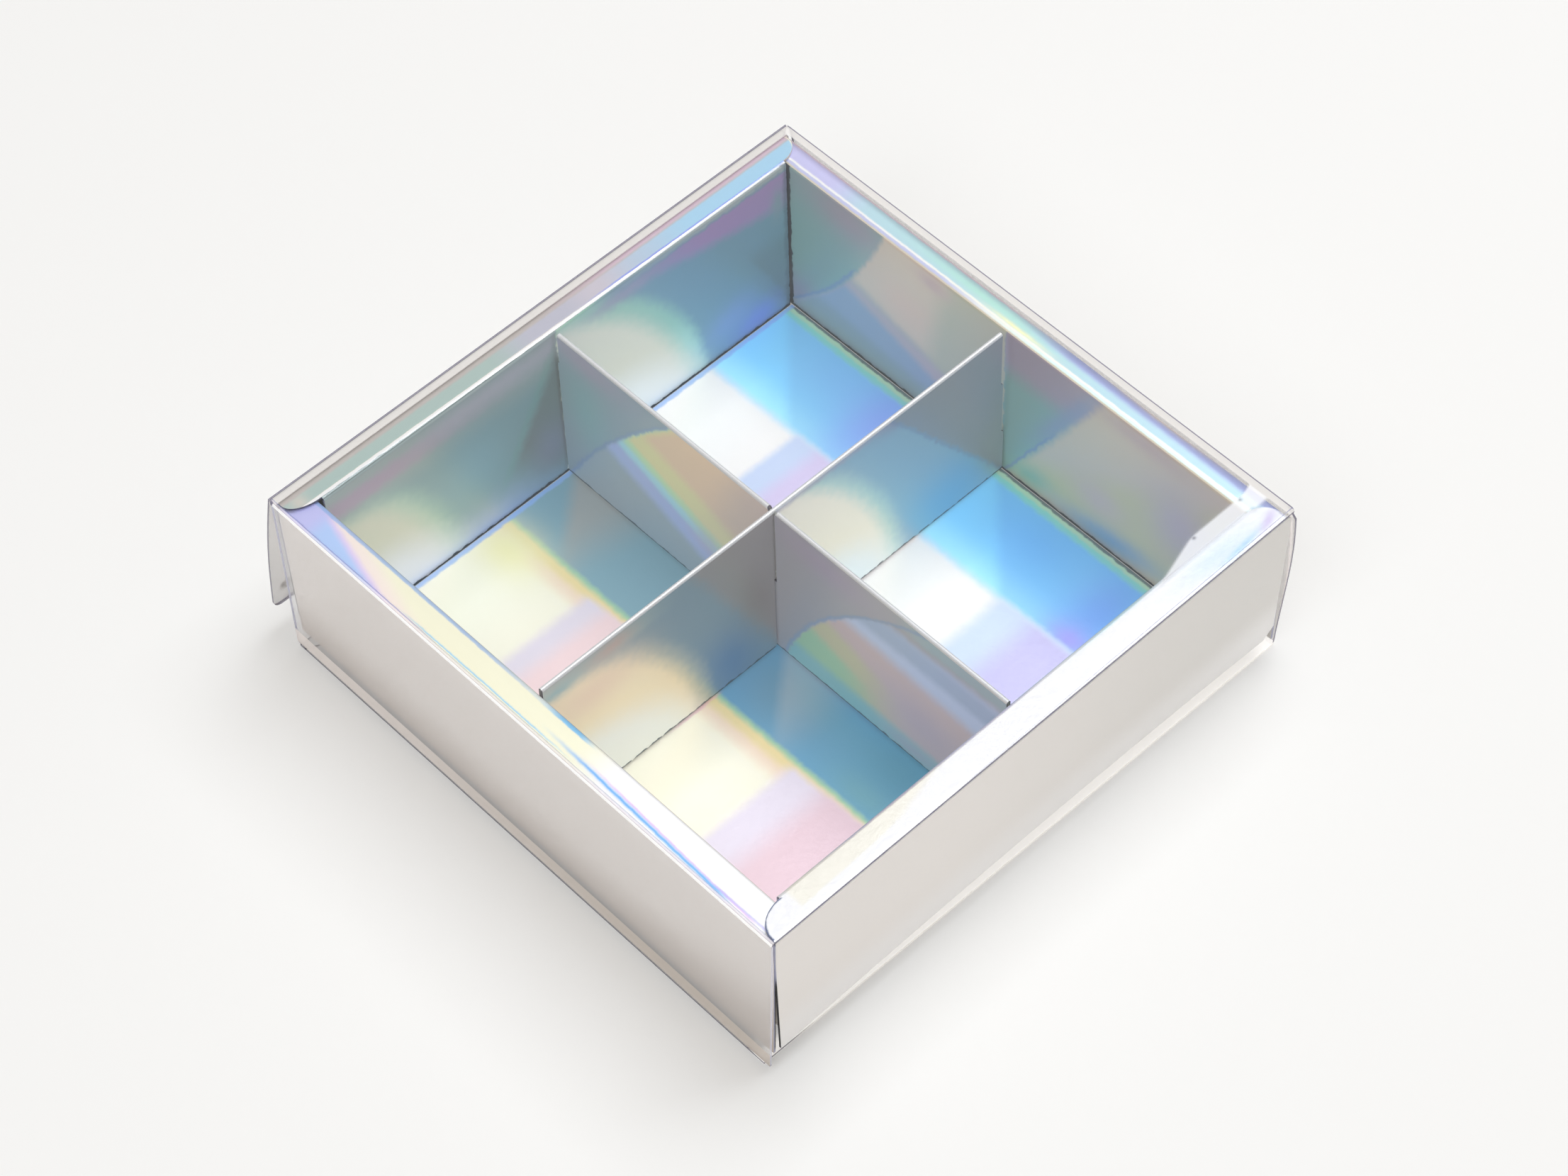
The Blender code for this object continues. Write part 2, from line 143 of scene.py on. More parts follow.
# Paints soft patches over a base colour. A patch fills what lies on the given side of all its edges. An edge
# is a point, the direction of that side in degrees and how soft the border is. A line is a thin band: a point
# on it, the direction across it and its width. A disc fills a circle, or all but the circle where its
# softness is below zero. A ring is a line round a circle and an arc a line round an oval. A blob is an oval
# with a soft rim: its middle, half sizes and turn. Places are in millimetres along two axes of the piece.
class Brush:
    def __init__(self, finish, along, across, lift):
        self.finish, self.along, self.across, self.lift = finish, along, across, lift
        self.known, self.masks = {}, {}

    def edge(self, a, b, facing, soft):
        key = (a, b, facing, soft)
        if key not in self.known:
            turn = math.radians(facing)
            right, up = round(math.cos(turn), 6), round(math.sin(turn), 6)
            if up == 0:
                mask = self.finish.ramp(self.along, a - soft * right, a + soft * right)
            elif right == 0:
                mask = self.finish.ramp(self.across, b - soft * up, b + soft * up)
            else:
                middle = a * right + b * up
                mask = self.finish.ramp(self.along * right + self.across * up, middle - soft, middle + soft)
            self.known[key] = mask
        return self.known[key]

    def away(self, a, b):
        return ((self.along - a) ** 2 + (self.across - b) ** 2) ** 0.5

    def mask(self, patch):
        if id(patch) not in self.masks:
            self.masks[id(patch)] = self.drawn(patch)
        return self.masks[id(patch)]

    def drawn(self, patch):
        parts = [self.edge(*edge) for edge in patch["edges"]]
        if "disc" in patch:
            a, b, radius, soft = patch["disc"]
            parts.append(self.finish.ramp(self.away(a, b), radius + soft, radius - soft))
        if "ring" in patch:
            a, b, radius, width = patch["ring"]
            parts.append(math.e ** -((self.away(a, b) - radius) * (1 / width)) ** 2)
        if "line" in patch:
            a, b, facing, width = patch["line"]
            right, up = math.cos(math.radians(facing)), math.sin(math.radians(facing))
            off = self.along * right + self.across * up - (a * right + b * up)
            parts.append(math.e ** -(off * (1 / width)) ** 2)
        if "arc" in patch:
            a, b, wide, high, width = patch["arc"]
            reach = (((self.along - a) * (1 / wide)) ** 2 + ((self.across - b) * (1 / high)) ** 2) ** 0.5
            parts.append(math.e ** -((reach - 1) * (1 / width)) ** 2)
        if "blob" in patch:
            a, b, wide, high, facing = patch["blob"]
            right, up = math.cos(math.radians(facing)), math.sin(math.radians(facing))
            p = ((self.along - a) * right + (self.across - b) * up) * (1 / wide)
            q = ((self.across - b) * right - (self.along - a) * up) * (1 / high)
            parts.append(math.e ** -(p * p + q * q))
        mask = parts[0]
        for part in parts[1:]:
            mask = mask * part
        return mask * patch["strength"] if "strength" in patch else mask

    def tone(self, text):  # the colour to paint, so that in the shade of the box it shows as written
        return (*[min(channel * more, 1.0) for channel, more in zip(shade(text), self.lift)], 1.0)

    def paint(self, base, patches):
        colour = self.tone(base)
        for patch in patches:
            colour = self.finish.blend(colour, self.tone(patch["colour"]), self.mask(patch))
        return colour


# Meshes

sheets = {
    "card": 0.35 * mm,
    "film": 0.3 * mm,
    "gap": 0.3 * mm,
    "cardFold": 0.2 * mm,
    "filmFold": 0.2 * mm,
    "foldSteps": 8,
    "sharpFrom": 38,
}
card, film, gap = sheets["card"], sheets["film"], sheets["gap"]
cardBend = sheets["cardFold"] + card
filmBend = sheets["filmFold"] + film


def putIn(name, data):
    made = bpy.data.objects.new(name, data)
    bpy.context.scene.collection.objects.link(made)
    return made


def meshOf(name, bm, materials):
    bmesh.ops.recalc_face_normals(bm, faces=bm.faces[:])
    mesh = bpy.data.meshes.new(name)
    bm.to_mesh(mesh)
    bm.free()
    for material in materials:
        mesh.materials.append(material)
    return mesh


def addPiece(name, bm, materials, body, nodes):
    mesh = meshOf(name, bm, materials)
    mesh.shade_smooth()
    mesh.set_sharp_from_angle(angle=math.radians(sheets["sharpFrom"]))
    piece = putIn(name, mesh)
    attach(piece, body)
    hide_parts(*nodes)
    return piece


# A folded sheet. Each station is (face point, back point, low end, high end, material) in the plane across
# the folds. Its material is that of the stretch after it. The two in others are those of the sheet's back and
# of its cut edges.
def foldedSheet(stations, columns, others, place):
    backRegion, edgeRegion = others
    bm = bmesh.new()
    faceRows, backRows = [], []
    for face, back, low, high, _ in stations:
        spots = [low + (high - low) * k / columns for k in range(columns + 1)]
        faceRows.append([bm.verts.new(place(u, *face)) for u in spots])
        backRows.append([bm.verts.new(place(u, *back)) for u in spots])

    def quad(corners, material):
        bm.faces.new(corners).material_index = material

    for i in range(len(stations) - 1):
        front, after = faceRows[i], faceRows[i + 1]
        rear, rearAfter = backRows[i], backRows[i + 1]
        for k in range(columns):
            quad((front[k], front[k + 1], after[k + 1], after[k]), stations[i][4])
            quad((rear[k], rearAfter[k], rearAfter[k + 1], rear[k + 1]), backRegion)
        quad((front[0], after[0], rearAfter[0], rear[0]), edgeRegion)
        quad((front[-1], rear[-1], rearAfter[-1], after[-1]), edgeRegion)
    for k in range(columns):
        quad((faceRows[0][k], backRows[0][k], backRows[0][k + 1], faceRows[0][k + 1]), edgeRegion)
        quad((faceRows[-1][k], faceRows[-1][k + 1], backRows[-1][k + 1], backRows[-1][k]), edgeRegion)
    return bm


def bend(centre, inner, thickness, start, end, steps):  # a fold's round, as pairs of outer and inner points
    pairs = []
    for step in range(steps + 1):
        angle = start + (end - start) * step / steps
        across, up = math.cos(angle), math.sin(angle)
        outer = inner + thickness
        pairs.append(((centre[0] + outer * across, centre[1] + outer * up),
                      (centre[0] + inner * across, centre[1] + inner * up)))
    return pairs


# Sizes read from the frame, so that each sheet lies where its node does
floorLow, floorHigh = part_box("tray_floor")
frontLow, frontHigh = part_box("tray_side_front_right")
backLow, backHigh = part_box("tray_side_back_left")
leftLow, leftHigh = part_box("tray_side_front_left")
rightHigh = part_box("tray_side_back_right")[1]
tray = {
    "left": leftLow.x,
    "right": rightHigh.x,
    "front": frontLow.y,
    "back": backHigh.y,
    "floor": floorLow.z,
    "upperRim": frontHigh.z,
    "lowerRim": leftHigh.z,
}
tray["middle"] = (tray["left"] + tray["right"]) / 2
tray["halfWidth"] = (tray["right"] - tray["left"]) / 2
tray["halfLength"] = (tray["back"] - tray["front"]) / 2
rims = {
    "FrontRight": frontHigh.y - frontLow.y,
    "BackRight": rightHigh.x - floorHigh.x - gap,
    "BackLeft": backHigh.y - backLow.y,
    "FrontLeft": floorLow.x - gap - leftLow.x,
}


# Finishes

def daub(colour, *edges, **form):  # one patch of paint
    return {"colour": colour, "edges": edges, **form}


# The sides of the crossing that a patch keeps to
onLeft = (-0.8, 0, 180, 0.2)
onRight = (-0.8, 0, 0, 0.2)
atBack = (0, 0.8, 90, 0.2)
atFront = (0, 0.8, 270, 0.2)

# Curved borders that several patches share
leftArch = (55.1, -47, 107.9, 0.5)
frontArch = (44.9, -11.5, 45.6, 0.5)
backArch = (-89.8, 53, 69.8, -0.6)

# A foil's axes are the two that its patches are measured along, and turned is -1 where the first runs the
# other way. Lift brightens the paint for the shade inside the box, glow is painted light, the share of the
# paint that shines by itself as emission, and warp is how far in millimetres the borders wander. The patches
# paint the foil's rainbow colours together with painted reflections of the walls, floor and lamps, painted
# highlights along the folds and painted shade in the corners and along the feet.
wallCard = {"glow": 0.2, "metal": 0.25, "gloss": 0.36}
rimCard = {"glow": 0.1, "metal": 0.3, "gloss": 0.3}
skirtCard = {"creases": 2.0, "relief": 0.15, "metal": 0.3, "gloss": 0.42, "warp": 1.0}

# The floor's blue, white, teal and cream halves are the foil's rainbow colours mixed with painted reflections
floorPaint = {
    "axes": (0, 1), "base": "#8ad8ff", "glow": 0.35, "metal": 0.3, "gloss": 0.32, "warp": 0.6,
    "patches": (
        # the blue half of the back and right compartments
        daub("#a8eaff", (28.5, 0, 180, 3)),
        daub("#8acbff", blob=(36, 27, 6, 9, 0)),
        daub("#92a8ff", blob=(35, 18, 10, 5, 0)),
        daub("#74c1ff", blob=(36, -12, 7, 9, 0)),
        daub("#7dabfc", blob=(33, -26, 9, 5, 0)),
        daub("#b59af0", blob=(27, -26, 2.5, 3.5, 0)),
        daub("#7fb4dc", (37.5, 38.5, 315, 1.2), atBack, strength=0.4),
        daub("#6ba8e6", (37, -3, 315, 1.2), atFront, strength=0.4),
        daub("#8fd7b0", (39.4, 0, 0, 0.6), strength=0.65),
        daub("#e0d890", (40.3, 0, 0, 0.3), strength=0.35),
        # painted shade in the crease at the foot of the right wall
        daub("#5d6a70", (40.9, 0, 0, 0.15), strength=0.9),
        # their white half
        daub("#cbe2f0", (25.7, 0, 180, 0.9), onRight),
        daub("#efece9", (24.9, 0, 180, 0.8), onRight),
        daub("#c3d0ea", (25.6, 0, 180, 0.8), (0, 24.6, 270, 0.9), onRight, atBack),
        daub("#cfc4e4", (25.4, 0, 180, 0.8), (0, 20.5, 270, 1.6), onRight, atBack),
        daub("#c6d4ea", (25.6, 0, 180, 0.8), (0, -14.6, 270, 1.6), onRight),
        daub("#bfbbe2", (25.4, 0, 180, 0.8), (0, -20.5, 270, 2.6), onRight),
        # the teal half of the left and front compartments
        daub("#67a1c3", onLeft),
        daub("#82a7b5", onLeft, atBack),
        daub("#6e9ab4", blob=(-6, -6, 6, 8, 0)),
        daub("#5c9ab4", blob=(-4, -26, 6, 7, 0)),
        daub("#70a6b0", blob=(-10, -25, 2.5, 6, 0), strength=0.7),
        daub("#a3a6a4", (-4.5, 38, 311, 1.4), (0, 29, 80, 5), onLeft, atBack, strength=0.85),
        daub("#9fb2bd", (-3.6, -3, 311, 1.2), (0, -10, 90, 5), onLeft, atFront, strength=0.7),
        # their cream half
        daub("#a2c8a8", (-12, 0, 180, 0.5), onLeft),
        daub("#e5d4a0", (-12.7, 0, 180, 0.5), onLeft),
        daub("#ecd7c2", (-14.2, 0, 180, 0.8), onLeft),
        daub("#efecda", (-16, 0, 180, 1.4), onLeft),
        daub("#f0eab8", blob=(-16, 38, 4, 6, 0)),
        daub("#dad3df", (-13.6, 0, 180, 0.8), (0, 24.4, 270, 1.3), onLeft, atBack),
        daub("#e8d0d3", (-13.4, 0, 180, 0.8), (0, 20.8, 270, 1.8), onLeft, atBack),
        daub("#ddd5e3", (-13.2, 0, 180, 0.8), (0, -14.6, 270, 1.2), onLeft),
        daub("#dcc2cc", (-13, 0, 180, 0.8), (0, -20.5, 270, 2.6), onLeft),
        # fringes at the far edges
        daub("#8fb4e8", (0, 41.3, 90, 0.25), strength=0.8),
        daub("#e9b9c8", (0, 0.2, 90, 0.15), (0, 0.8, 270, 0.2), (-20, 0, 0, 2), (-12, 0, 180, 1),
             strength=0.5),
    ),
}

# The wall's patches are the foil's rainbow colours mixed with painted reflections of the floor and walls
backLeftPaint = {
    "axes": (0, 2), "base": "#7c9699", "lift": (1.26, 1.27, 1.31), "warp": 1.2, **wallCard,
    "patches": (
        # the left compartment
        daub("#8f9d9c", (0, 23.5, 90, 3)),
        daub("#7f9fa8", blob=(-17, 15, 7, 8, 0)),
        daub("#98a9c4", blob=(-15, 2.5, 9, 4.5, 0)),
        daub("#9db8a8", (0, 23, 270, 4), disc=(-52.4, 0.1, 32, 2.6)),
        daub("#bfc1b0", (0, 23, 270, 3), disc=(-52.4, 0.1, 29.4, 2.8)),
        daub("#cfd4dc", disc=(-36, -8, 19, 5)),
        daub("#9c8f9f", (0, 25.4, 90, 1.2), (0, 28.6, 270, 1.2), (-20, 0, 180, 14), strength=0.9),
        daub("#aeaab4", (0, 26.5, 90, 2), (0, 30, 270, 1.5), (-24, 0, 0, 8), onLeft, strength=0.6),
        # painted shade beside the divider, with a green fringe
        daub("#6f9b8e", (-9, 14, 332, 1), (-9, 14, 152, 2), (0, 8, 90, 4), onLeft),
        daub("#74807f", (-7.2, 15, 332, 1.1), (-9, 10, 60, 4), onLeft),
        daub("#7e8896", blob=(-3.5, 9, 3.5, 5, 0)),
        # the back compartment
        daub("#74919b", onRight),
        daub("#8fb5a3", onRight, disc=(-12, -1.4, 37.2, 1.6)),
        daub("#a5c6b8", onRight, (0, 12, 270, 5), disc=(-12, -1.4, 37, 1.4)),
        daub("#8f92a0", blob=(12, 28.6, 7, 1.5, 0)),
        daub("#a7aaa4", (0, 29.9, 90, 0.4), (16, 0, 0, 14), strength=0.8),
        daub("#7887bd", blob=(35, 3.8, 5, 3.4, 0)),
        daub("#7f93ba", blob=(30, 7.5, 5.5, 3.5, 20), strength=0.7),
        daub("#c3c5b4", onRight, disc=(-12, -1.4, 33.6, 2.2)),
        daub("#d3dad9", onRight, disc=(6, -9, 20, 5)),
        daub("#6f8285", (37.6, 10, 28, 0.7), (0, 17, 270, 3), onRight, strength=0.6),
        daub("#9f84a6", (27, 25.6, 79, 1.5), (18, 0, 0, 8), (0, 29.6, 270, 0.5), strength=0.95),
        daub("#86959b", blob=(39.5, 24, 1.2, 3, 0)),
        # painted shade in the back corner and along the foot
        daub("#5f6f76", (40.6, 0, 0, 0.4), strength=0.6),
        daub("#3f4750", (41.3, 0, 0, 0.1)),
        daub("#47545d", (0, 1.68, 270, 0.06)),
    ),
}

# The wall's patches are the foil's rainbow colours mixed with painted reflections of the floor and walls
backRightPaint = {
    "axes": (1, 2), "turned": -1, "base": "#76969c", "lift": (1.52, 1.37, 1.14), "warp": 0.9, **wallCard,
    "patches": (
        # the back compartment
        daub("#8c8a9b", blob=(-31, 28.5, 8, 4.5, 0)),
        daub("#8189a0", blob=(-41, 4.5, 6, 4.5, 0)),
        daub("#7d8f9c", onLeft, disc=(-89.8, 53, 69.8, -0.5)),
        daub("#b2aaa5", (-24, 14.6, 75, 2.6), onLeft, disc=backArch),
        daub("#b8a8a4", blob=(-20, 19.5, 5.5, 4.5, 0)),
        daub("#9ba29a", (-13.6, 22, 350, 2.6), onLeft, strength=0.85),
        daub("#a89ba2", blob=(-14.5, 28.5, 3, 1.6, 0)),
        daub("#9c98a6", (-24, 14.6, 255, 1.4), onLeft, disc=backArch),
        daub("#8092ae", (-24, 12, 252, 1.4), onLeft, disc=backArch),
        daub("#7c8da0", (-24, 6.4, 265, 1.6), onLeft, disc=backArch),
        daub("#6d83a6", (0, 19, 270, 1), onLeft, ring=(-89.8, 53, 69.3, 0.3), strength=0.8),
        # the right compartment
        daub("#76979c", onRight),
        daub("#8d889c", (0, 22.8, 90, 3), onRight),
        daub("#7888a9", onRight, (0, 14, 90, 6), line=(7.6, 16.5, 330.3, 1.6), strength=0.8),
        daub("#a9a59f", (8.8, 16.2, 330.3, 0.9), onRight),
        daub("#a7a88c", (8.3, 16.2, 330.3, 0.9), (12, 11.6, 300, 2.8), (0, 4.4, 90, 2), onRight),
        daub("#a8a09f", blob=(17, 10.5, 5, 4, 0)),
        daub("#7c9f98", blob=(4.5, 4.2, 4.2, 2.4, 20)),
        daub("#6f8bb0", blob=(19, 3.6, 9, 2.6, 8)),
        daub("#a09ba4", blob=(31, 18, 6, 8, 0)),
        daub("#9f969d", blob=(24, 29, 8, 2, 0)),
        daub("#6d83a6", (0, 17, 270, 3), onRight, line=(8.1, 16.2, 330.3, 0.26), strength=0.8),
        # shadows along the corners
        daub("#3f4750", (-41.95, 0, 180, 0.1)),
        daub("#4a565f", (0, 1.68, 270, 0.06)),
    ),
}

# The divider's patches are the foil's rainbow colours mixed with painted reflections of the floor and walls
longPaint = {
    "axes": (0, 2), "base": "#7c8f9b", "lift": (1.33, 1.31, 1.24), "warp": 1.2, **wallCard,
    "patches": (
        # the front compartment
        daub("#607d9f", blob=(-9.5, 6.5, 5, 7.5, 15)),
        daub("#8b8a8e", (-8.2, 17, 28, 1.4), onLeft),
        daub("#7e7678", blob=(-4.5, 15, 3, 8, 15), strength=0.6),
        daub("#8fa0a2", (0, 27.6, 90, 1), (-22, 0, 180, 6)),
        daub("#a3a8a4", disc=(-43.1, 1.6, 29.6, 1.8)),
        daub("#d8ccb2", disc=(-43.1, 1.6, 27.2, 1.8)),
        daub("#d3c0ad", blob=(-32.5, 22.5, 6.5, 3.6, 0)),
        daub("#d2d6d8", disc=(-37, -9, 23.5, 4)),
        daub("#8ba7aa", blob=(-38.5, 28.4, 4.5, 1.5, 0)),
        daub("#a79a96", blob=(-29, 29, 3.5, 1.6, 0)),
        # the right compartment
        daub("#87a5b2", onRight),
        daub("#6f9fbc", blob=(30, 5, 10, 7.5, 0)),
        daub("#a5c2bc", onRight, disc=(-16.7, 0.7, 38.4, 1.8)),
        daub("#d9d6c6", onRight, disc=(-16.7, 0.7, 36, 1.8)),
        daub("#cfdce4", onRight, disc=(4, -7, 18.5, 4.5)),
        daub("#9a9aa6", (0, 30, 90, 0.8), onRight, strength=0.8),
        daub("#8a8fa3", blob=(22, 30.2, 4, 1.8, 0)),
        daub("#868f97", (31, 16, 36, 0.5), onRight),
        daub("#8a8f8c", blob=(40.5, 10, 3.5, 8, 0), strength=0.8),
        daub("#7487a0", onRight, line=(30.8, 16, 36, 0.35), strength=0.5),
        # the painted shadow along the foot
        daub("#47525b", (0, 2.1, 270, 0.08)),
    ),
}

# The divider's patches are the foil's rainbow colours mixed with painted reflections of the floor and walls
crossPaint = {
    "axes": (1, 2), "turned": -1, "base": "#7f8e98", "lift": (1.48, 1.5, 1.49), "warp": 0.9, **wallCard,
    "patches": (
        # the left compartment
        daub("#78959b", blob=(-37, 19, 4.5, 8, 0)),
        daub("#8f8c9b", blob=(-36, 29.5, 8, 3, 0)),
        daub("#8a8aa0", blob=(-34, 6, 4, 3, 0), strength=0.6),
        daub("#87939d", onLeft, disc=leftArch),
        daub("#8f9cc0", (-22, 10.4, 69, 1.6), onLeft, disc=leftArch),
        daub("#8fb5c2", (-22, 14.4, 69, 0.9), onLeft, disc=leftArch),
        daub("#9fbb9f", (-22, 16.4, 69, 0.9), onLeft, disc=leftArch),
        daub("#b8b590", (-22, 18.2, 69, 1), onLeft, disc=(55.1, -47, 107.7, 0.5)),
        daub("#bba693", (-22, 23, 72, 1.8), onLeft, disc=(55.1, -47, 107.2, 0.9)),
        daub("#a39a95", (-10, 24, 340, 4), (0, 18, 90, 4), onLeft, strength=0.8),
        daub("#9e97a2", blob=(-13, 12, 4, 3, 340), strength=0.6),
        daub("#70829c", onLeft, ring=(55.1, -47, 108.1, 0.32), strength=0.75),
        # the front compartment
        daub("#8b8b92", onRight),
        daub("#8f8796", blob=(9, 28, 8, 3, 0)),
        daub("#82939a", (0, 28.2, 90, 1), (24, 0, 0, 4)),
        daub("#a0aac2", (24, 26.4, 274, 1.6), onRight, disc=frontArch),
        daub("#8a98b0", (28, 22.6, 90, 1.2), (28, 26.8, 270, 1.4), onRight, disc=frontArch),
        daub("#aa999b", (20, 19.6, 266, 1.8), onRight, disc=frontArch),
        daub("#a7a389", (12, 15.6, 250, 1.8), (20, 0, 180, 6), onRight, disc=frontArch),
        daub("#8aa98e", (12, 10.4, 255, 1.6), (15, 0, 180, 5), onRight, disc=frontArch),
        daub("#a1939c", blob=(27, 11, 6, 4.5, 0)),
        daub("#77a0a4", (14, 5.6, 268, 1.6), onRight, disc=frontArch),
        daub("#8d95a0", blob=(25, 3.5, 6, 1.8, 0)),
        daub("#70829c", onRight, (33, 0, 180, 4), ring=(44.9, -11.5, 45.8, 0.32), strength=0.75),
        # the shadow along the foot
        daub("#47525b", (0, 2.1, 270, 0.08)),
    ),
}

# The rim's near-white and tints are painted reflections on the foil
frontRimPaint = {
    "axes": (0, 1), "base": "#f2f3f4", "lift": (0.9, 0.89, 0.9), "warp": 0.4, **rimCard,
    "patches": (
        daub("#f0eee2", (-39.5, 0, 0, 0.6), (-28, -44.3, 92, 0.3), (-20, -43.4, 104, 0.8)),
        daub("#b9b4dd", (0, -41.8, 90, 0.15), (-32, 0, 0, 6), (4, 0, 180, 6), strength=0.7),
        daub("#c6e8f0", blob=(19, -41.7, 7, 0.35, 1)),
        daub("#dcebf0", blob=(34, -44, 7, 1.6, 0)),
        daub("#bcdcf2", blob=(37, -45.2, 4, 0.5, 5)),
        daub("#d6cdea", blob=(42.5, -44.7, 2, 0.6, 20)),
        daub("#8f93b6", (0, -46.05, 270, 0.08)),
        # painted shade in the gap at the front corner, and a painted shadow line along the edge of the rim's
        # lobe
        daub("#26262c", blob=(-45.2, -46.1, 0.25, 0.2, 0)),
        daub("#4c5b80", (-40.4, 0, 180, 0.2), (0, -45.7, 90, 0.1), arc=(-40.7, -45.25, 4.45, 3.2, 0.035)),
        daub("#8c9ad6", (41.6, 0, 0, 0.4), (0, -45.9, 90, 0.1), arc=(41.2, -44.6, 3.3, 3.3, 0.05),
             strength=0.3),
    ),
}

# The rim's tints are painted reflections on the foil
backLeftRimPaint = {
    "axes": (0, 1), "base": "#a7bfbc", "lift": (1.2, 1.13, 1.1), "warp": 0.2, **rimCard,
    "patches": (
        daub("#c4c7c0", blob=(-43.2, 44.2, 1.2, 1.4, 0)),
        daub("#b7bccb", (-7, 0, 0, 4)),
        daub("#c3c3cf", (5, 0, 0, 3)),
        daub("#b3c8dc", (12, 0, 0, 4)),
        daub("#a4d0ea", (20, 0, 0, 6)),
        daub("#b4b2b0", (0, 45.1, 90, 0.3)),
        daub("#c9b8c8", (0, 45.3, 90, 0.3), (6, 0, 0, 10)),
        # painted highlights along the inner fold, with the wall's colour reflected below them
        daub("#8f9fe8", (0, 43.2, 269.5, 0.12), (8, 0, 0, 5)),
        daub("#fbe9e2", (0, 43.02, 269.5, 0.08), (4, 0, 180, 6)),
        daub("#f6f6f7", (0, 42.95, 269.5, 0.08)),
        daub("#7d8c8e", (0, 42.5, 269.5, 0.08)),
        # a painted highlight on the lobe's edge, and painted shade in the corner gap
        daub("#fbeedb", (41.2, 0, 0, 0.3), (0, 45.9, 270, 0.1), arc=(41.2, 45.4, 3.3, 2.95, 0.035)),
        daub("#26262c", blob=(40.6, 42.3, 0.45, 0.25, 0)),
    ),
}

# The rim's tints are painted reflections on the foil
backRightRimPaint = {
    "axes": (1, 0), "turned": -1, "base": "#aecfe4", "lift": (1.28, 1.23, 1.1), "warp": 0.25, **rimCard,
    "patches": (
        daub("#bdbfee", (-32, 0, 180, 4)),
        daub("#a8d6d6", blob=(-6, 43.8, 14, 0.8, 0)),
        daub("#9fabe0", (4, 0, 0, 6), (0, 43.9, 90, 0.5)),
        daub("#cdbfd2", (0, 44.8, 90, 0.2), (2, 0, 180, 8)),
        daub("#d8cec8", blob=(25, 45.2, 9, 0.45, 0)),
        # painted highlights and reflections along the inner fold
        daub("#fbf0c6", blob=(0, 42.95, 5, 0.35, 0)),
        daub("#fdeef2", (0, 42.75, 270, 0.12), (-8, 0, 180, 6)),
        daub("#fdf9ea", (0, 42.7, 270, 0.12), (-14, 0, 0, 8)),
        daub("#b7bde6", (0, 42.4, 270, 0.12), (-8, 0, 180, 8)),
        daub("#cfe6ee", (0, 42.35, 270, 0.12), (0, 0, 0, 8)),
        daub("#d9d3c6", (0, 41.95, 270, 0.12)),
    ),
}

# The rim's near-white, its tints and the lines along its folds are painted reflections on the foil
frontLeftRimPaint = {
    "axes": (1, 0), "turned": -1, "base": "#f2f2f3", "lift": (1.1, 1.1, 1.1), "warp": 0.25, **rimCard,
    "patches": (
        daub("#f2f0d6", (12, 0, 180, 4)),
        daub("#f5e7df", (-27, -43, 255, 1.3)),
        daub("#decff0", (-32.5, -43.3, 256, 0.5)),
        daub("#b3cdf5", (-35, -43.4, 256, 0.6)),
        daub("#c3c4f0", (-40, 0, 180, 1.6)),
        daub("#f6e0e6", blob=(38.5, -43.5, 1.2, 1.2, 0), strength=0.6),
        daub("#9fd0ee", (-20, 0, 0, 4), (6, 0, 180, 5), line=(0, -44.75, 270, 0.12)),
        daub("#d6a6e2", (14, 0, 0, 6), (42, 0, 180, 1), line=(24, -44.1, 267.5, 0.16), strength=0.7),
        daub("#6fb0f0", (8, 0, 0, 6), (37, 0, 180, 2), line=(24, -44.5, 268, 0.26)),
        daub("#a9a6ea", (35, 0, 0, 2), (44, 0, 180, 1), line=(38, -44.6, 270, 0.2), strength=0.7),
        daub("#8a8fd0", (-18, 0, 180, 4), line=(0, -45, 270, 0.08), strength=0.7),
        daub("#8fb0e0", (0, -41.6, 90, 0.12), (-2, 0, 180, 12), strength=0.8),
        daub("#7fbce6", (0, -41.7, 90, 0.12), (2, 0, 0, 3), (9, 0, 180, 2)),
    ),
}

frontLeftSkirtPaint = {
    "axes": (1, 2), "turned": -1, "base": "#f7f1eb", "glow": 0.12, **skirtCard,
    "patches": (
        # painted shade and reflection of the table: darker towards the foot and the lower right
        daub("#dcd2c9", (0, 9, 270, 5.5)),
        daub("#d2c8bf", (28, 9, 290, 9)),
    ),
}

frontRightSkirtPaint = {
    "axes": (0, 2), "base": "#ebe7e3", "glow": 0.1, **skirtCard,
    "patches": (
        # painted shade and reflection of the table: darker towards the right, lighter low down
        daub("#dcdad6", (12, 0, 0, 36)),
        daub("#f0efee", (0, 11, 270, 4), strength=0.8),
    ),
}


foilGrain = {
    "turned": 1,
    "lift": (1, 1, 1),
    "driftScale": 0.8,
    "driftDetail": 3.0,
    "creaseScale": 1.3,
    "creaseStretch": (1, 0.6, 0.8),
    "creaseRough": 0.7,
    "creases": 5.0,
    "relief": 0.5,
    "depth": 0.05 * mm,
}


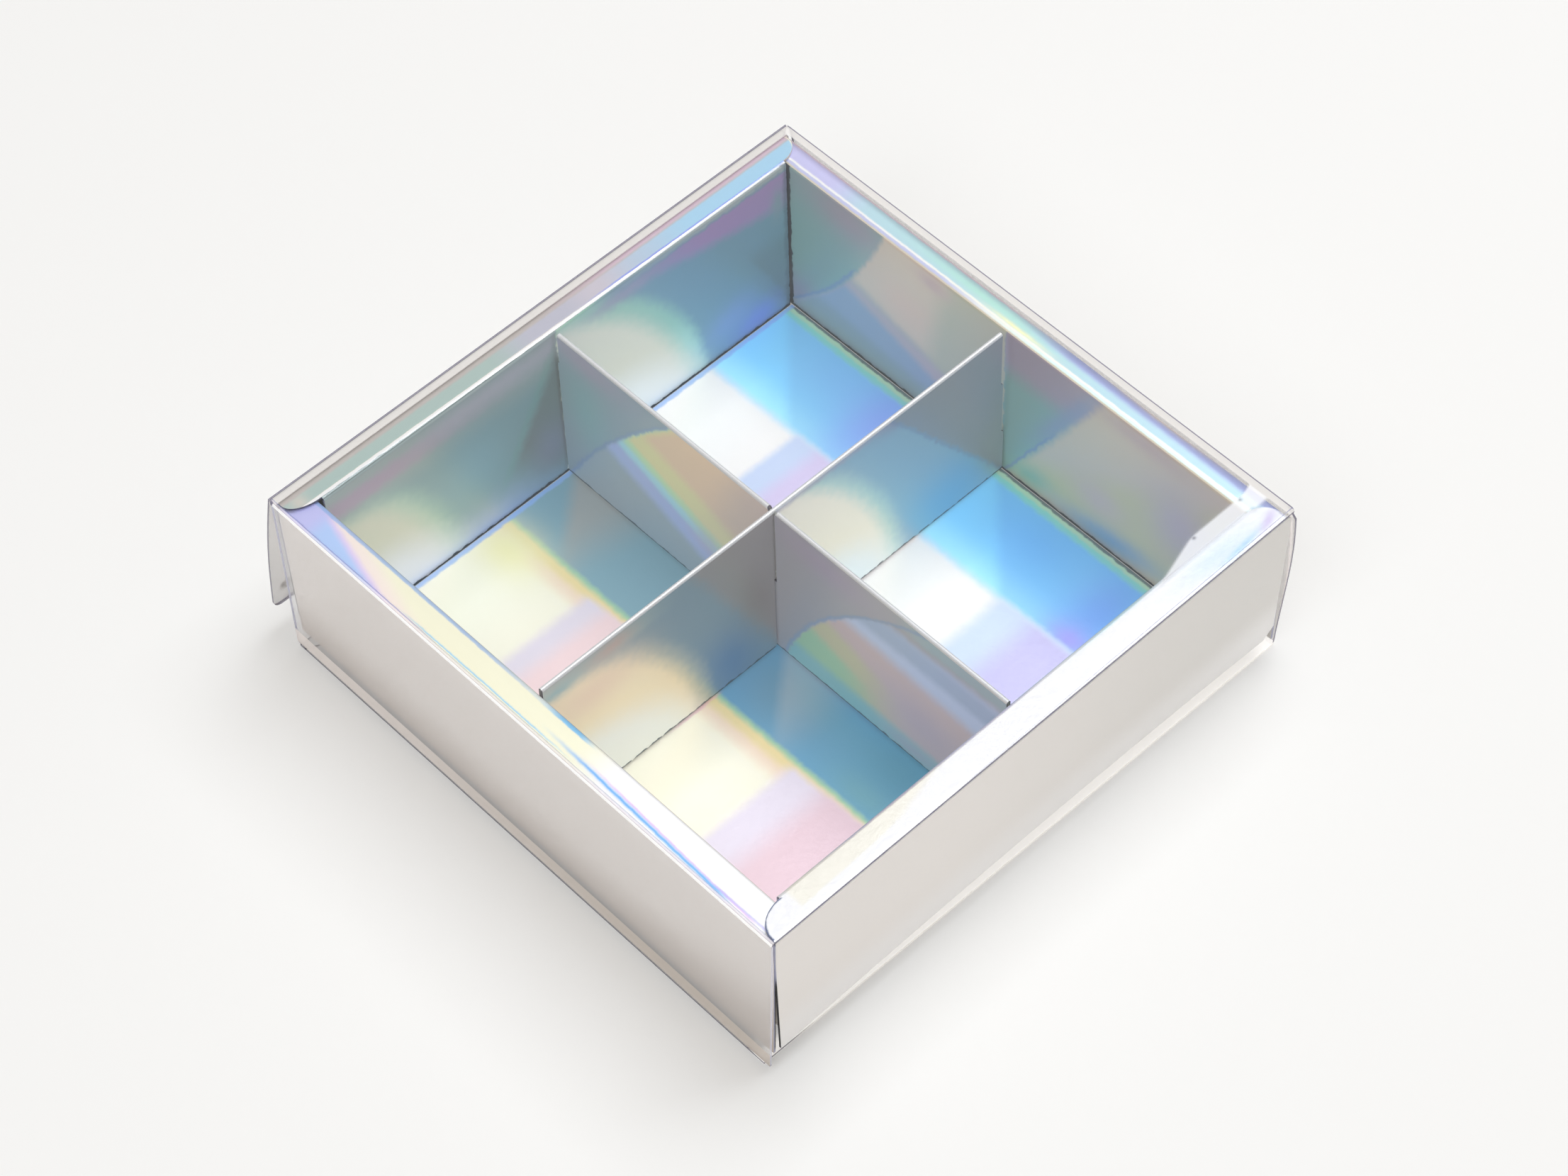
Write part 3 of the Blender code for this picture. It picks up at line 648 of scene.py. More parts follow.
def foil(name, spec):
    spec = {**foilGrain, **spec}
    finish = Finish(name)
    vector, split = finish.place()
    inputs = {"Vector": vector, "Scale": spec["driftScale"], "Detail": spec["driftDetail"]}
    scatter = finish.node("ShaderNodeTexNoise", None, inputs, 1)
    drift = [finish.node("ShaderNodeSeparateColor", None, {0: scatter}, channel) for channel in (0, 1)]
    along, across = [split[axis] + (drift[k] - 0.5) * spec["warp"] for k, axis in enumerate(spec["axes"])]
    along = along * spec["turned"]
    colour = Brush(finish, along, across, spec["lift"]).paint(spec["base"], spec["patches"])
    inputs = {0: vector, 1: spec["creaseStretch"]}
    stretched = finish.node("ShaderNodeVectorMath", {"operation": "MULTIPLY"}, inputs)
    crease = finish.noise(stretched, spec["creaseScale"], spec["creases"], spec["creaseRough"])
    shader = finish.node("ShaderNodeBsdfPrincipled", None, {
        "Base Color": colour,
        "Metallic": spec["metal"],
        "Roughness": spec["gloss"],
        "Emission Color": colour,
        "Emission Strength": spec["glow"],
        "Normal": finish.bump(crease, spec["depth"], spec["relief"]),
    })
    return finish.finish(shader)


# Plain card: the sheet's back and its cut edges, with painted shade where a corner or a gap lies in shade and
# a painted highlight on the edges at the right end
plain = {
    "fibreScale": 2.5,
    "fibreDetail": 4.0,
    "fibreRough": 0.6,
    "fibreColour": "#b9b4ae",
    "fibreFrom": 0.35,
    "fibreShare": 0.35,
    "depth": 0.02 * mm,
    "relief": 0.3,
}

# painted shade on the cut edges in the gaps at the left and front corners, and a painted highlight on the top
# edges at the right end
edgePatches = (
    daub("#15151a", (-45.3, 0, 0, 0.05), (-38, 0, 180, 0.5), (0, 27, 270, 1.5), (0, 5, 90, 0.5)),
    daub("#454763", (0, 30.55, 90, 0.1), (-38, 0, 180, 0.5)),
    daub("#f6ead6", (0, 30.55, 90, 0.1), (38, 0, 0, 0.5)),
)

# painted shade on the card's back in the corner gaps of the left side
backPatches = (daub("#1b1b20", (-44.2, 0, 180, 0.3)),)


def plainCard(name, base, gloss=0.6, metal=0.0, patches=()):
    finish = Finish(name)
    vector, split = finish.place()
    fibres = finish.noise(vector, plain["fibreScale"], plain["fibreDetail"], plain["fibreRough"])
    painted = Brush(finish, split[0], split[2], (1, 1, 1)).paint(base, patches)
    showing = (fibres - plain["fibreFrom"]) * plain["fibreShare"]
    colour = finish.blend(painted, shade(plain["fibreColour"]), showing)
    shader = finish.node("ShaderNodeBsdfPrincipled", None, {
        "Base Color": colour,
        "Metallic": metal,
        "Roughness": gloss,
        "Normal": finish.bump(fibres, plain["depth"], plain["relief"]),
    })
    return finish.finish(shader)


# Clear film. The veil says how much of the painted colour shows over what lies behind it. The colours are
# partly the film's tint and partly painted light: painted highlights, reflections and dark outlines along its
# folds and edges, and light strips and margins painted over the shade seen through it. Where a patch lies,
# its colour also shines by itself with the glow, as emission.
clearSheet = {
    "gloss": 0.08,
    "glow": 0.3,
    "grainScale": 0.25,
    "grainDetail": 3.0,
    "grainRough": 0.5,
    "depth": 0.02 * mm,
    "relief": 0.2,
    "clear": (0.99, 0.99, 0.99, 1.0),
    "mirrorIor": 1.3,
    "mirrorShare": 0.4,
    "patches": (),
}

filmPaint = {
    "Top": {"axes": (0, 1), "tint": "#f4f4f6", "veil": 0.01, "patches": (
        # the milky reflection at the right corner
        daub("#f4f6fb", (33, -40, 286, 0.3), (0, -39.95, 270, 0.3), (0, -42.2, 90, 0.4), veil=0.6),
        daub("#fdfdff", (44, -39.6, 288, 0.25), (42.3, 0, 0, 0.5), (0, -42.6, 90, 0.5), veil=0.6),
        daub("#8d8f99", blob=(42, -40.25, 0.4, 0.3, 0), veil=0.6),
        daub("#9a9ca6", blob=(33.4, -40.3, 0.3, 0.25, 0), veil=0.5),
        # the margins past the tray, partly the tint of the film's layers and partly painted shade from the
        # table below, with a painted dark outline at the right fold
        daub("#dad7d3", (0, 45.6, 90, 0.12), veil=0.7),
        daub("#dddad7", (44.7, 0, 0, 0.12), veil=0.75),
        daub("#7d798a", (45.7, 0, 0, 0.02), (46.05, 0, 180, 0.01), veil=0.9),
        # painted highlights and dark lines along the front edge and the left fold
        daub("#7f83ab", (-14, 0, 0, 3), line=(15, -45.98, 90.4, 0.05), veil=0.8),
        daub("#ffffff", (-45.88, 0, 180, 0.02), veil=0.85),
        daub("#f3ecf3", (-45.88, 0, 0, 0.02), (-45.6, 0, 180, 0.03), veil=0.4),
        daub("#a49cac", line=(-45.88, 0, 0, 0.025), veil=0.6),
        daub("#7a86b4", line=(-45.56, 0, 0, 0.05), veil=0.5),
        daub("#7d7a8c", (0, 46.1, 90, 0.05), (-45.75, 0, 180, 0.03), veil=0.85),
    )},
    # a strip low on the left wall painted a glowing light beige over the shade under the tray, darker towards
    # the front,
    # with a painted dark line and white highlight along the bottom fold and painted shade at the front corner
    "Left": {"axes": (1, 2), "tint": "#f4f4f6", "veil": 0.03, "patches": (
        daub("#ddd5d0", (0, 4.3, 270, 0.12), veil=0.75),
        daub("#c2b8ae", (0, 4.3, 270, 0.12), (4, 0, 180, 34), veil=0.75),
        daub("#6a615e", line=(0, 1.3, 90, 0.08), veil=0.8),
        daub("#f4f0ec", (0, 1.15, 270, 0.04), veil=0.85),
        daub("#6e6670", (0, 1.4, 270, 0.05), (-43, 0, 180, 0.8), veil=0.9),
    )},
    # near its front edge and a tinted band at its foot
    # the right wall tinted grey as painted shade of the table seen through it, with a painted white highlight
    "Right": {"axes": (1, 2), "tint": "#dad8d8", "veil": 0.18, "patches": (
        daub("#fbf8f7", line=(-45.3, 0, 0, 0.3), veil=0.6),
        daub("#c9c4cb", (0, 0.75, 270, 0.1), veil=0.6),
    )},
    # the front strip of the bottom sheet painted light and glowing strongly, over the shade under the tray
    "Foot": {"axes": (0, 1), "tint": "#f4f4f6", "veil": 0.02, "glow": 0.62, "patches": (
        daub("#edebe8", (0, -41.5, 270, 1.2), veil=0.8),
    )},
    # cut edges painted dark violet, a painted dark outline where light bends through the film's edge, lighter
    # at the back end and the foot
    "Edge": {"axes": (0, 2), "tint": "#77738a", "veil": 0.85, "patches": (
        daub("#c4c6d6", (-45.5, 0, 180, 0.1), (0, 31.1, 270, 0.1), (0, 1.5, 90, 0.3), veil=0.6),
        daub("#f1ede9", (0, 0.45, 270, 0.1), (-39, 0, 0, 3), veil=0.7),
    )},
    # a light veil painted over the shade behind the flap, with painted dark outlines at the hinge and the
    # foot, and a slit drawn as a dark blob with a light middle
    "Flap": {"axes": (0, 2), "tint": "#f2f0ef", "veil": 0.17, "patches": (
        daub("#85818f", (0, 31.32, 90, 0.04), veil=0.85),
        daub("#9a96a6", (0, 4.2, 270, 0.05), veil=0.8),
        daub("#77726f", blob=(-43.4, 7.5, 0.8, 0.6, 0), veil=0.85),
        daub("#dddad9", blob=(-43.3, 7.6, 0.5, 0.38, 0), veil=0.5),
    )},
    # the flap's cut edges painted dark violet, a painted dark outline
    "FlapEdge": {"axes": (0, 2), "tint": "#7a7689", "veil": 0.85},
    "Inside": {"axes": (0, 1), "tint": "#f4f4f6", "veil": 0.01},
}


def clearFilm(name, spec):
    spec = {**clearSheet, **spec}
    finish = Finish(name)
    vector, split = finish.place()
    along, across = [split[axis] for axis in spec["axes"]]
    brush = Brush(finish, along, across, (1, 1, 1))
    colour = brush.paint(spec["tint"], spec["patches"])
    veil = spec["veil"]
    for patch in spec["patches"]:
        veil = veil + (patch["veil"] - veil) * brush.mask(patch)
    grain = finish.noise(vector, spec["grainScale"], spec["grainDetail"], spec["grainRough"])
    body = finish.node("ShaderNodeBsdfPrincipled", None, {
        "Base Color": colour,
        "Roughness": spec["gloss"],
        "Emission Color": brush.paint("#000000", spec["patches"]),
        "Emission Strength": spec["glow"],
        "Normal": finish.bump(grain, spec["depth"], spec["relief"]),
    })
    clear = finish.node("ShaderNodeBsdfTransparent", None, {"Color": spec["clear"]})
    mirror = finish.node("ShaderNodeFresnel", None, {"IOR": spec["mirrorIor"]})
    showing = mirror * spec["mirrorShare"] + veil
    return finish.finish(finish.node("ShaderNodeMixShader", None, {0: showing, 1: clear, 2: body}))


foils = {
    "skirtFrontLeft": frontLeftSkirtPaint,
    "skirtFrontRight": frontRightSkirtPaint,
    "skirtBackLeft": frontRightSkirtPaint,
    "skirtBackRight": frontLeftSkirtPaint,
    "floor": floorPaint,
    "wallBackLeft": backLeftPaint,
    "wallBackRight": backRightPaint,
    "wallFrontRight": backLeftPaint,
    "wallFrontLeft": backRightPaint,
    "rimBackLeft": backLeftRimPaint,
    "rimBackRight": backRightRimPaint,
    "rimFrontRight": frontRimPaint,
    "rimFrontLeft": frontLeftRimPaint,
    "dividerLong": longPaint,
    "dividerCross": crossPaint,
}
finishes = {name: foil(name + "Foil", paint) for name, paint in foils.items()}
finishes.update({"film" + part: clearFilm("film" + part, spec) for part, spec in filmPaint.items()})
finishes.update({
    # the crown is painted near-white, a painted highlight along the dividers' rounded fold
    "crown": plainCard("dividerCrown", "#f4f5f6", 0.35, 0.3),
    "back": plainCard("cardBack", "#e9e6e2", patches=backPatches),
    # the cut edges' grey-violet is painted shade, in place of the card's white core
    "edge": plainCard("cardEdge", "#b4b6ce", patches=edgePatches),
    # the dividers' cut faces are painted dark, as painted shade in their slots and ends
    "cut": plainCard("dividerCut", "#6b6872"),
})
print("stage: finishes ready")


# Tray sides, in the order of sideOrder. Each is drawn as the front one and turned into place.

sideOrder = ("FrontRight", "BackRight", "BackLeft", "FrontLeft")
sides = {
    "feet": (5.0 * mm, 3.6 * mm, 4.4 * mm, 4.2 * mm),
    "archRise": (1.3 * mm, 0, 0, 0),
    "footLean": (0.6 * mm, 0, 0, 0),
    "skirtGap": 0.06 * mm,
    "openingTop": 26 * mm,
    "openings": ((0.9 * mm, 0.35 * mm), (0.4 * mm, 0.4 * mm), (0.4 * mm, 0.4 * mm), (0.4 * mm, 0.9 * mm)),
    "skirtChamfer": 1.8 * mm,
    "lobeInsets": {"left": 0.3 * mm, "right": 0.65 * mm},
    "lobeFlat": 0.12,
    "lobeSteps": 24,
    "cornerCut": 1.2 * mm,
    "columns": 48,
    "wallRows": 6,
}


def sideStations(rim, upper, foot, ends):
    top = tray["upperRim"] if upper else tray["lowerRim"]
    steps = sheets["foldSteps"]
    flatEnd = rim - cardBend
    rows = []

    def skirtReach(end, z):
        opening = end["opening"] * max(0, 1 - z / sides["openingTop"])
        return end["half"] - (0 if upper else card) - sides["skirtGap"] - opening

    def wallReach(end):
        face = end["half"] - end["neighbour"]
        return face - gap if upper else face + 2 * card + gap

    def lobeReach(end, turn):
        inner = wallReach(end)
        return inner + (end["half"] - end["lobeInset"] - inner) * math.cos(turn)

    def rimReach(end):
        return lobeReach(end, 0) if upper else end["half"] - card - gap

    def add(face, back, low, high, part):
        rows.append((face, back, -low, high, part))

    low, high = ends
    footReaches = [skirtReach(end, foot) - end["chamfer"] for end in ends]
    add((0, foot), (card, foot), *footReaches, 0)
    chamferTop = foot + sides["skirtChamfer"]
    for row in range(sides["wallRows"]):
        part = row / sides["wallRows"]
        z = chamferTop + (top - cardBend - chamferTop) * part
        add((0, z), (card, z), skirtReach(low, z), skirtReach(high, z), 0)
    outer = bend((cardBend, top - cardBend), sheets["cardFold"], card, math.pi, math.pi / 2, steps)
    for step, (face, back) in enumerate(outer):
        part = step / steps
        reaches = [skirtReach(end, top) + (rimReach(end) - skirtReach(end, top)) * part for end in ends]
        add(face, back, *reaches, 0 if step < steps // 2 else 1)
    if upper:
        start = cardBend + (flatEnd - cardBend) * sides["lobeFlat"]
        for step in range(sides["lobeSteps"]):
            turn = math.pi / 2 * step / sides["lobeSteps"]
            v = start + (flatEnd - start) * math.sin(turn)
            add((v, top), (v, top - card), lobeReach(low, turn), lobeReach(high, turn), 1)
    else:
        v = flatEnd - sides["cornerCut"]
        add((v, top), (v, top - card), rimReach(low), rimReach(high), 1)
    inner = bend((flatEnd, top - cardBend), sheets["cardFold"], card, math.pi / 2, 0, steps)
    for step, (face, back) in enumerate(inner):
        add(face, back, wallReach(low), wallReach(high), 1 if step < steps // 2 else 2)
    wallTop = top - cardBend
    for row in range(1, sides["wallRows"] + 1):
        z = wallTop + (tray["floor"] - wallTop) * row / sides["wallRows"]
        add((rim, z), (rim - card, z), wallReach(low), wallReach(high), 2)
    return rows


def buildSide(side, node):
    turn = sideOrder.index(side)
    halves = (tray["halfWidth"], tray["halfLength"]) * 2
    half, out = halves[turn], halves[(turn + 1) % 4]
    chamfers = ((0, sides["skirtChamfer"]), (0, 0)) * 2
    places = ("left", "right") if turn < 2 else ("right", "left")
    ends = []
    for number, place in enumerate(places):
        neighbour = sideOrder[(turn - 1 + 2 * number) % 4]
        ends.append({"half": half, "neighbour": rims[neighbour], "chamfer": chamfers[turn][number],
                     "opening": sides["openings"][turn][number], "lobeInset": sides["lobeInsets"][place]})
    foot, top = sides["feet"][turn], tray["upperRim"]
    rise, lean = sides["archRise"][turn], sides["footLean"][turn]
    angle = turn * math.pi / 2
    seat = Matrix.Translation((tray["middle"] + out * math.sin(angle), -out * math.cos(angle), 0))
    seat = seat @ Matrix.Rotation(angle, 4, "Z")
    stations = sideStations(rims[side], turn % 2 == 0, foot, ends)

    def place(u, v, z):
        low = max(0, 1 - (z - foot) / (top - foot)) if v < cardBend else 0
        return seat @ Vector((u, v + lean * low, z + rise * low ** 2 * (1 - (u / half) ** 2)))

    bm = foldedSheet(stations, sides["columns"], (3, 4), place)
    materials = [finishes[key] for key in ("skirt" + side, "rim" + side, "wall" + side, "back", "edge")]
    addPiece("side" + side, bm, materials, "tray", [node])


buildSide("FrontRight", "tray_side_front_right")
buildSide("BackRight", "tray_side_back_right")
buildSide("BackLeft", "tray_side_back_left")
buildSide("FrontLeft", "tray_side_front_left")
print("stage: tray sides folded")


# Tray floor

floorPanel = {"cells": 24}


def buildFloor():
    count = floorPanel["cells"]
    rows = [floorLow.y + (floorHigh.y - floorLow.y) * row / count for row in range(count + 1)]
    stations = [((y, floorHigh.z), (y, floorLow.z), floorLow.x, floorHigh.x, 0) for y in rows]
    bm = foldedSheet(stations, count, (1, 2), lambda u, v, z: Vector((u, v, z)))
    materials = [finishes[key] for key in ("floor", "back", "edge")]
    addPiece("trayFloor", bm, materials, "tray", ["tray_floor"])


buildFloor()
print("stage: tray floor laid")


# Dividers

dividers = {
    "slit": 0.2 * mm,
    "ply": 0.25 * mm,
    "play": 0.2 * mm,
    "slack": 0.6 * mm,
    "mouthBevel": 0.3 * mm,
    "mouthDepth": 0.6 * mm,
    "reliefSlope": 0.3 * mm,
    "longReliefs": ((21.0, 0.35), (10.7, 0.7)),
    "crossReliefs": ((5.9, 0.3),),
    "columns": 40,
    "rowHeight": 3 * mm,
    "foldSteps": 12,
    "cutterReach": 2 * mm,
}
nearly = 1e-7


def buildDivider(name, node, axis, reliefs):
    low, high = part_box(node)
    half = dividers["slit"] / 2 + dividers["ply"]
    slit = dividers["slit"] / 2
    across = 1 - axis
    middle = (low[across] + high[across]) / 2
    shoulder = high.z - half
    heights = []
    steps = [(high.z - depth * mm, inset * mm) for depth, inset in reliefs]
    slope = dividers["reliefSlope"]
    marks = sorted([low.z, shoulder] + [z + rise for z, _ in steps for rise in (0, slope)])
    for start, end in zip(marks, marks[1:]):
        count = max(1, round((end - start) / dividers["rowHeight"]))
        heights += [start + (end - start) * k / count for k in range(count)]
    heights.append(shoulder)

    def reach(z):
        inset = [amount for floor, amount in steps if z > floor + nearly]
        return high[axis] - (inset[-1] if inset else 0)

    pairs = [((-half, z), (-slit, z)) for z in heights[:-1]]
    pairs += bend((0, shoulder), slit, dividers["ply"], math.pi, 0, dividers["foldSteps"])
    pairs += [((half, z), (slit, z)) for z in reversed(heights[:-1])]
    stations = []
    for number, (face, back) in enumerate(pairs):
        after = pairs[min(number + 1, len(pairs) - 1)][0]
        crown = min(face[1], after[1]) >= shoulder - nearly
        stations.append((face, back, low[axis], reach(face[1]), 1 if crown else 0))

    def place(u, v, z):
        return Vector((u, middle + v, z)) if axis == 0 else Vector((middle - v, u, z))

    bm = foldedSheet(stations, dividers["columns"], (2, 3), place)
    materials = [finishes[key] for key in (name, "crown", "back", "cut")]
    piece = addPiece(name, bm, materials, "tray", [node])
    return piece, middle


def cutSlot(piece, axis, at, mouth):  # the mouth is 1 for a slot open at the top, or -1 at the foot
    low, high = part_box("divider_long")
    half = dividers["slit"] / 2 + dividers["ply"]
    wide = half + dividers["play"]
    flare = wide + dividers["mouthBevel"]
    centre = (low.z + high.z) / 2
    end = high.z if mouth > 0 else low.z
    floor = centre - mouth * dividers["slack"] / 2
    throat = end - mouth * dividers["mouthDepth"]
    deep = dividers["cutterReach"]
    past = end + mouth * deep
    outline = ((-wide, floor), (wide, floor), (wide, throat), (flare, end), (flare, past),
               (-flare, past), (-flare, end), (-wide, throat))
    bm = bmesh.new()

    def spot(u, v, z):
        return (at[axis] + u, at[1 - axis] + v, z) if axis == 0 else (at[0] + v, at[1] + u, z)

    face = bm.faces.new([bm.verts.new(spot(u, -deep, z)) for u, z in outline])
    risen = bmesh.ops.extrude_face_region(bm, geom=[face])
    shift = (0, 2 * deep, 0) if axis == 0 else (2 * deep, 0, 0)
    bmesh.ops.translate(bm, verts=[v for v in risen["geom"] if isinstance(v, bmesh.types.BMVert)], vec=shift)
    mesh = meshOf("slotCutter", bm, piece.data.materials)
    for polygon in mesh.polygons:
        polygon.material_index = 3  # the cut edge
    cutter = putIn("slotCutter", mesh)
    cut = piece.modifiers.new("slot", "BOOLEAN")
    cut.operation = "DIFFERENCE"
    cut.solver = "EXACT"
    cut.object = cutter
    bpy.context.view_layer.update()
    shaped = bpy.data.meshes.new_from_object(piece.evaluated_get(bpy.context.evaluated_depsgraph_get()))
    piece.modifiers.clear()
    piece.data = shaped
    bpy.data.objects.remove(cutter)


longStrip, longMiddle = buildDivider("dividerLong", "divider_long", 0, dividers["longReliefs"])
crossStrip, crossMiddle = buildDivider("dividerCross", "divider_cross", 1, dividers["crossReliefs"])
crossing = (crossMiddle, longMiddle)
cutSlot(longStrip, 0, crossing, -1)
cutSlot(crossStrip, 1, crossing, 1)
print("stage: dividers crossed")


# Sleeve

topLow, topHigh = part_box("sleeve_top")
wallLow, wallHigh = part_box("sleeve_left_wall")
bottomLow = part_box("sleeve_bottom")[0]
sleeve = {
    "half": -wallLow.x,
    "front": topLow.y,
    "back": wallHigh.y,
    "overhang": topHigh.y + 0.2 * mm,
    "top": topHigh.z,
    "bow": 0.9 * mm,
    "bowPeak": 0.62,
    "spread": 0.7 * mm,
    "cornerBevel": 1.3 * mm,
    "tabWidth": 8 * mm,
    "tabBevel": 4 * mm,
    "tabFront": 5.5 * mm,
    "tabBack": 1.5 * mm,
    "tabHeight": 0.6 * mm,
    "notch": 0.3 * mm,
    "wallLean": 1.3 * mm,
    "footRecess": (1.5 * mm, 2.7 * mm),
    "columns": 40,
    "rows": 16,
}


def buildSleeve():
    steps = sheets["foldSteps"]
    fold = sheets["filmFold"]
    half, front, back, overhang = [sleeve[key] for key in ("half", "front", "back", "overhang")]
    topBend = sleeve["top"] - filmBend
    footBend = sleeve["tabHeight"] + filmBend
    rows = []
    tabLow = front + sleeve["tabFront"]
    tabHigh = back - sleeve["tabBack"]
    tabEdge = -half + filmBend + sleeve["tabWidth"]
    z = sleeve["tabHeight"]
    bevel = sleeve["tabBevel"]
    rows.append(((tabEdge, z), (tabEdge, z + film), tabLow + bevel, tabHigh - bevel, 3))
    for face, inside in bend((-half + filmBend, footBend), fold, film, -math.pi / 2, -math.pi, steps):
        rows.append((face, inside, tabLow, tabHigh, 3))
    for row in range(sleeve["rows"]):
        part = row / sleeve["rows"]
        z = footBend + sleeve["notch"] + (topBend - footBend - sleeve["notch"]) * part
        rows.append(((-half, z), (-half + film, z), front + sleeve["wallLean"] * (1 - part), back, 0))
    leftFold = bend((-half + filmBend, topBend), fold, film, math.pi, math.pi / 2, steps)
    for step, (face, inside) in enumerate(leftFold):
        rows.append((face, inside, front, overhang - (overhang - back) * (1 - step / steps) ** 2, 1))
    flat = half - filmBend
    for row in range(1, sleeve["rows"]):
        x = -flat + 2 * flat * row / sleeve["rows"]
        rows.append(((x, sleeve["top"]), (x, sleeve["top"] - film), front, overhang, 1))
    rightFold = bend((flat, topBend), fold, film, math.pi / 2, 0, steps)
    for step, (face, inside) in enumerate(rightFold):
        cut = sleeve["cornerBevel"] * step / steps
        rows.append((face, inside, front + cut, overhang - (overhang - back) * (step / steps) ** 2, 1))
    power = math.log(0.5) / math.log(sleeve["bowPeak"])
    recess, recessLeft = sleeve["footRecess"]
    for row in range(1, sleeve["rows"]):
        height = 1 - row / sleeve["rows"]
        z = filmBend + (topBend - filmBend) * height
        out = sleeve["bow"] * math.sin(math.pi * height ** power) + sleeve["spread"] * (1 - height)
        rows.append(((half + out, z), (half + out - film, z), front + recess * (1 - height), back, 2))
    flat += sleeve["spread"]
    for face, inside in bend((flat, filmBend), fold, film, 0, -math.pi / 2, steps):
        rows.append((face, inside, front + recess, back, 3))
    for row in range(1, sleeve["rows"] + 1):
        part = row / sleeve["rows"]
        x = flat - (flat - bottomLow.x) * part
        rows.append(((x, 0), (x, film), front + recess + (recessLeft - recess) * part, back, 3))
    bm = foldedSheet(rows, sleeve["columns"], (4, 5), lambda u, v, z: Vector((v, u, z)))
    nodes = ["sleeve_top", "sleeve_left_wall", "sleeve_bottom", "sleeve_right_wall"]
    materials = [finishes["film" + part] for part in ("Left", "Top", "Right", "Foot", "Inside", "Edge")]
    addPiece("sleeveFilm", bm, materials, "sleeve", nodes)


buildSleeve()
print("stage: sleeve folded")


# End flap

flap = {
    "length": 27.8 * mm,
    "tilt": 8.5,
    "bow": 0.6 * mm,
    "endCut": 0.2 * mm,
    "corner": 1.5 * mm,
    "cornerSteps": 10,
    "beadSteps": 6,
    "sideInset": 0.2 * mm,
    "rows": 8,
    "columns": 30,
}


def buildFlap():
    joint = [j for j in frame["joints"] if j["name"] == "flap_hinge"][0]
    hinge = Vector(joint["pos_m"])
    turn = Matrix.Rotation(math.radians(flap["tilt"]), 4, "X")
    seat = Matrix.Translation(hinge) @ turn
    half = sleeve["half"] - flap["sideInset"]
    bead = film / 2
    rows = []
    for step in range(1, flap["beadSteps"] + 1):
        angle = math.pi / 2 * step / flap["beadSteps"]
        across, up = bead * math.sin(angle), bead * math.cos(angle)
        rows.append(((across, up), (-across, up), -half, half - flap["endCut"], 0))
    radius = flap["corner"]
    corner = -flap["length"] + radius
    places = [(corner * row / flap["rows"], half) for row in range(1, flap["rows"])]
    for step in range(flap["cornerSteps"] + 1):
        angle = math.pi / 2 * step / flap["cornerSteps"]
        places.append((corner - radius * math.sin(angle), half - radius * (1 - math.cos(angle))))
    for z, reach in places:
        out = flap["bow"] * math.sin(math.pi * z / -flap["length"])
        rows.append(((out + bead, z), (out - bead, z), -reach, reach, 0))
    bm = foldedSheet(rows, flap["columns"], (0, 1), lambda u, v, z: seat @ Vector((u, v, z)))
    materials = [finishes["filmFlap"], finishes["filmFlapEdge"]]
    addPiece("flapFilm", bm, materials, "flap", ["end_flap"])


buildFlap()
print("stage: end flap hung")


# Studio

studio = {
    "floorSize": 3.0,
    "floorDrop": 0.05 * mm,
    "floorColour": "#fbfaf8",
    "floorRough": 0.9,
    "floorSeen": "#fafaf8",
    "floorWhite": 0.36,
    "skyColour": (1.0, 0.90, 0.80),
    "skyStrength": 0.30,
}

softboxes = {
    "overhead": {"place": (0.32, -0.02, 0.90), "size": 0.6, "power": 5.7, "colour": (0.94, 0.98, 1.025)},
    "front": {"place": (-0.7, -0.25, 0.95), "size": 0.6, "power": 3.5, "colour": (0.94, 0.98, 1.025)},
}


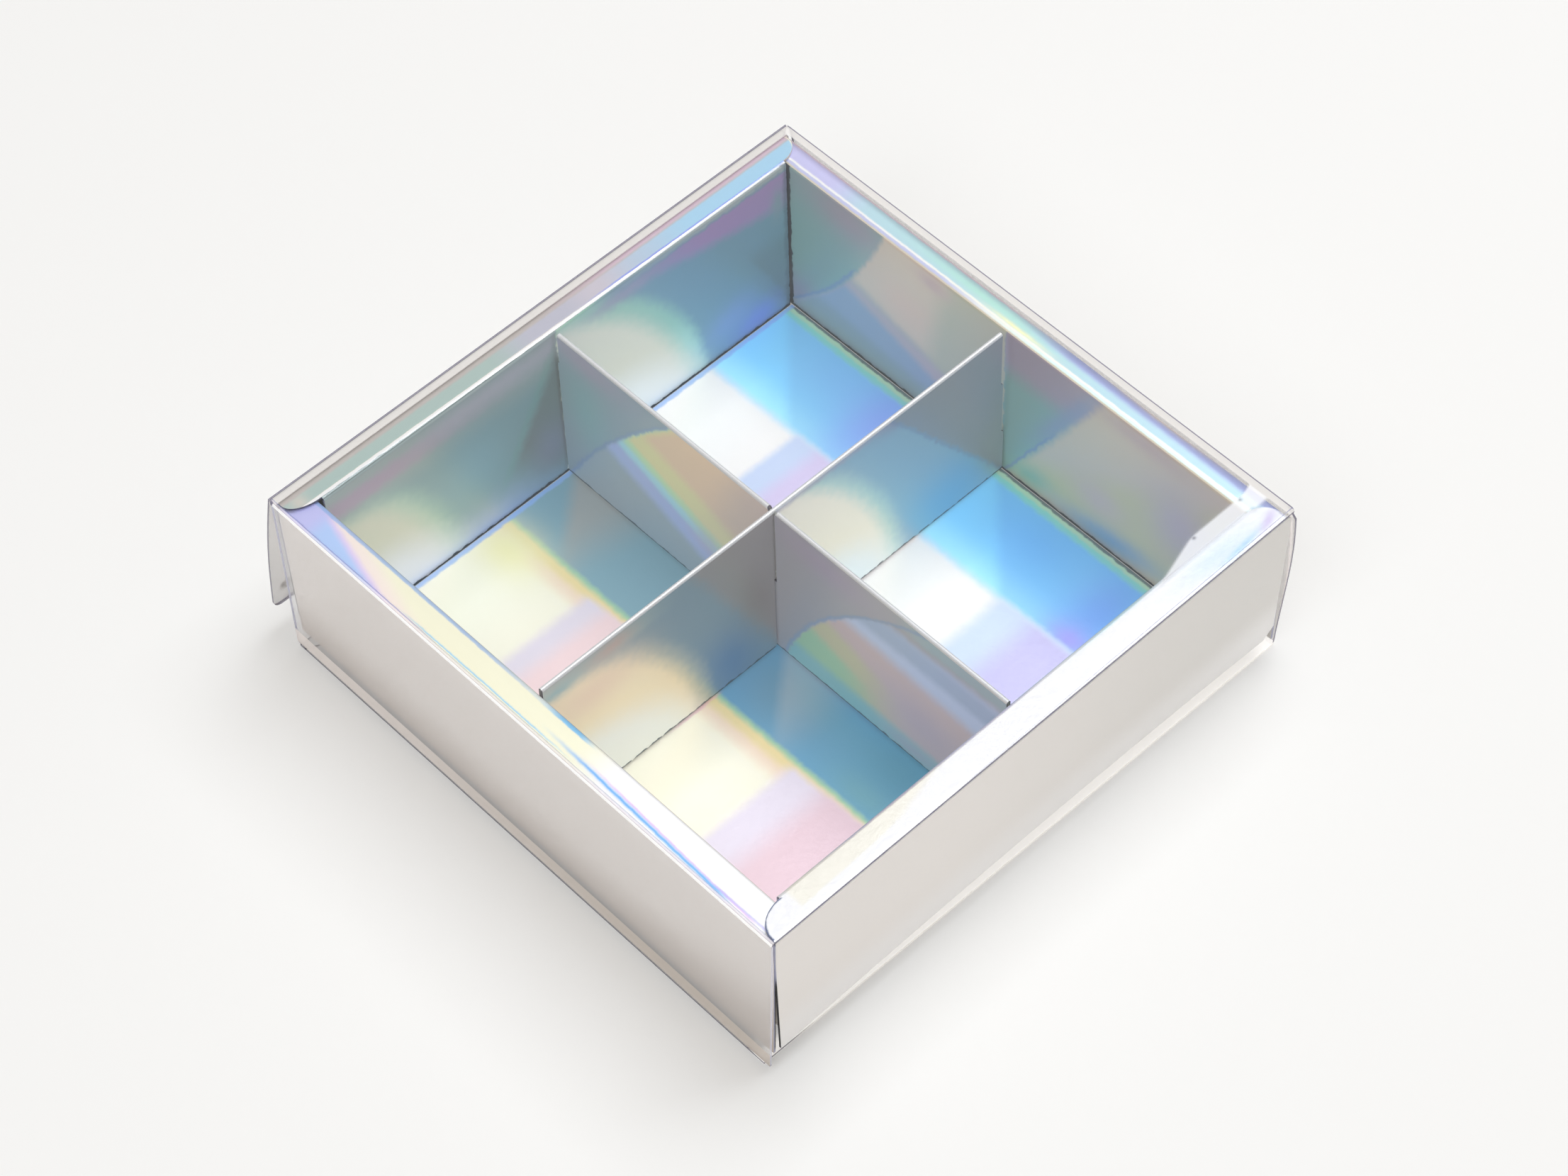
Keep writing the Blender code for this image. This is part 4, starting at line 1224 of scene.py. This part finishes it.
def buildStudio():
    size = studio["floorSize"]
    bm = bmesh.new()
    bmesh.ops.create_grid(bm, x_segments=1, y_segments=1, size=size)
    finish = Finish("studioFloor")
    inputs = {"Base Color": shade(studio["floorColour"]), "Roughness": studio["floorRough"]}
    paper = finish.node("ShaderNodeBsdfPrincipled", None, inputs)
    white = finish.node("ShaderNodeEmission", None, {"Color": shade(studio["floorSeen"])})
    share = finish.node("ShaderNodeLightPath") * studio["floorWhite"]  # only the camera sees the white
    material = finish.finish(finish.node("ShaderNodeMixShader", None, {0: share, 1: paper, 2: white}))
    floor = putIn("studioFloor", meshOf("studioFloor", bm, [material]))
    floor.location = (0, 0, -studio["floorDrop"])

    world = bpy.data.worlds.new("studioSky")
    bpy.context.scene.world = world
    world.use_nodes = True
    sky = world.node_tree.nodes["Background"]
    sky.inputs["Color"].default_value = (*studio["skyColour"], 1.0)
    sky.inputs["Strength"].default_value = studio["skyStrength"]

    for name, box in softboxes.items():
        lamp = bpy.data.lights.new(name, "AREA")
        lamp.shape = "SQUARE"
        lamp.size = box["size"]
        lamp.energy = box["power"]
        lamp.color = box["colour"]
        stand = putIn(name, lamp)
        stand.location = box["place"]
        stand.rotation_euler = (-stand.location).to_track_quat("-Z", "Y").to_euler()


# Camera

view = {
    "target": (-0.1 * mm, 0.05 * mm, 14 * mm),
    "distance": 545.2 * mm,
    "elevation": 53.65,
    "azimuth": -42.15,
    "roll": -2.05,
    "lens": 95.83,
    "sensor": 36,
    "nearest": 0.01,
}


def buildCamera():
    data = bpy.data.cameras.new("camera")
    data.lens = view["lens"]
    data.sensor_width = view["sensor"]
    data.clip_start = view["nearest"]
    camera = putIn("camera", data)
    turn = math.radians(view["azimuth"])
    rise = math.radians(view["elevation"])
    away = Vector((math.sin(turn) * math.cos(rise), -math.cos(turn) * math.cos(rise), math.sin(rise)))
    target = Vector(view["target"])
    facing = (-away).to_track_quat("-Z", "Y").to_matrix().to_4x4()
    roll = Matrix.Rotation(math.radians(view["roll"]), 4, "Z")
    camera.matrix_world = Matrix.Translation(target + away * view["distance"]) @ facing @ roll
    bpy.context.scene.camera = camera


buildStudio()
buildCamera()
bpy.context.scene.view_settings.view_transform = "Standard"
print("stage: studio and camera set")
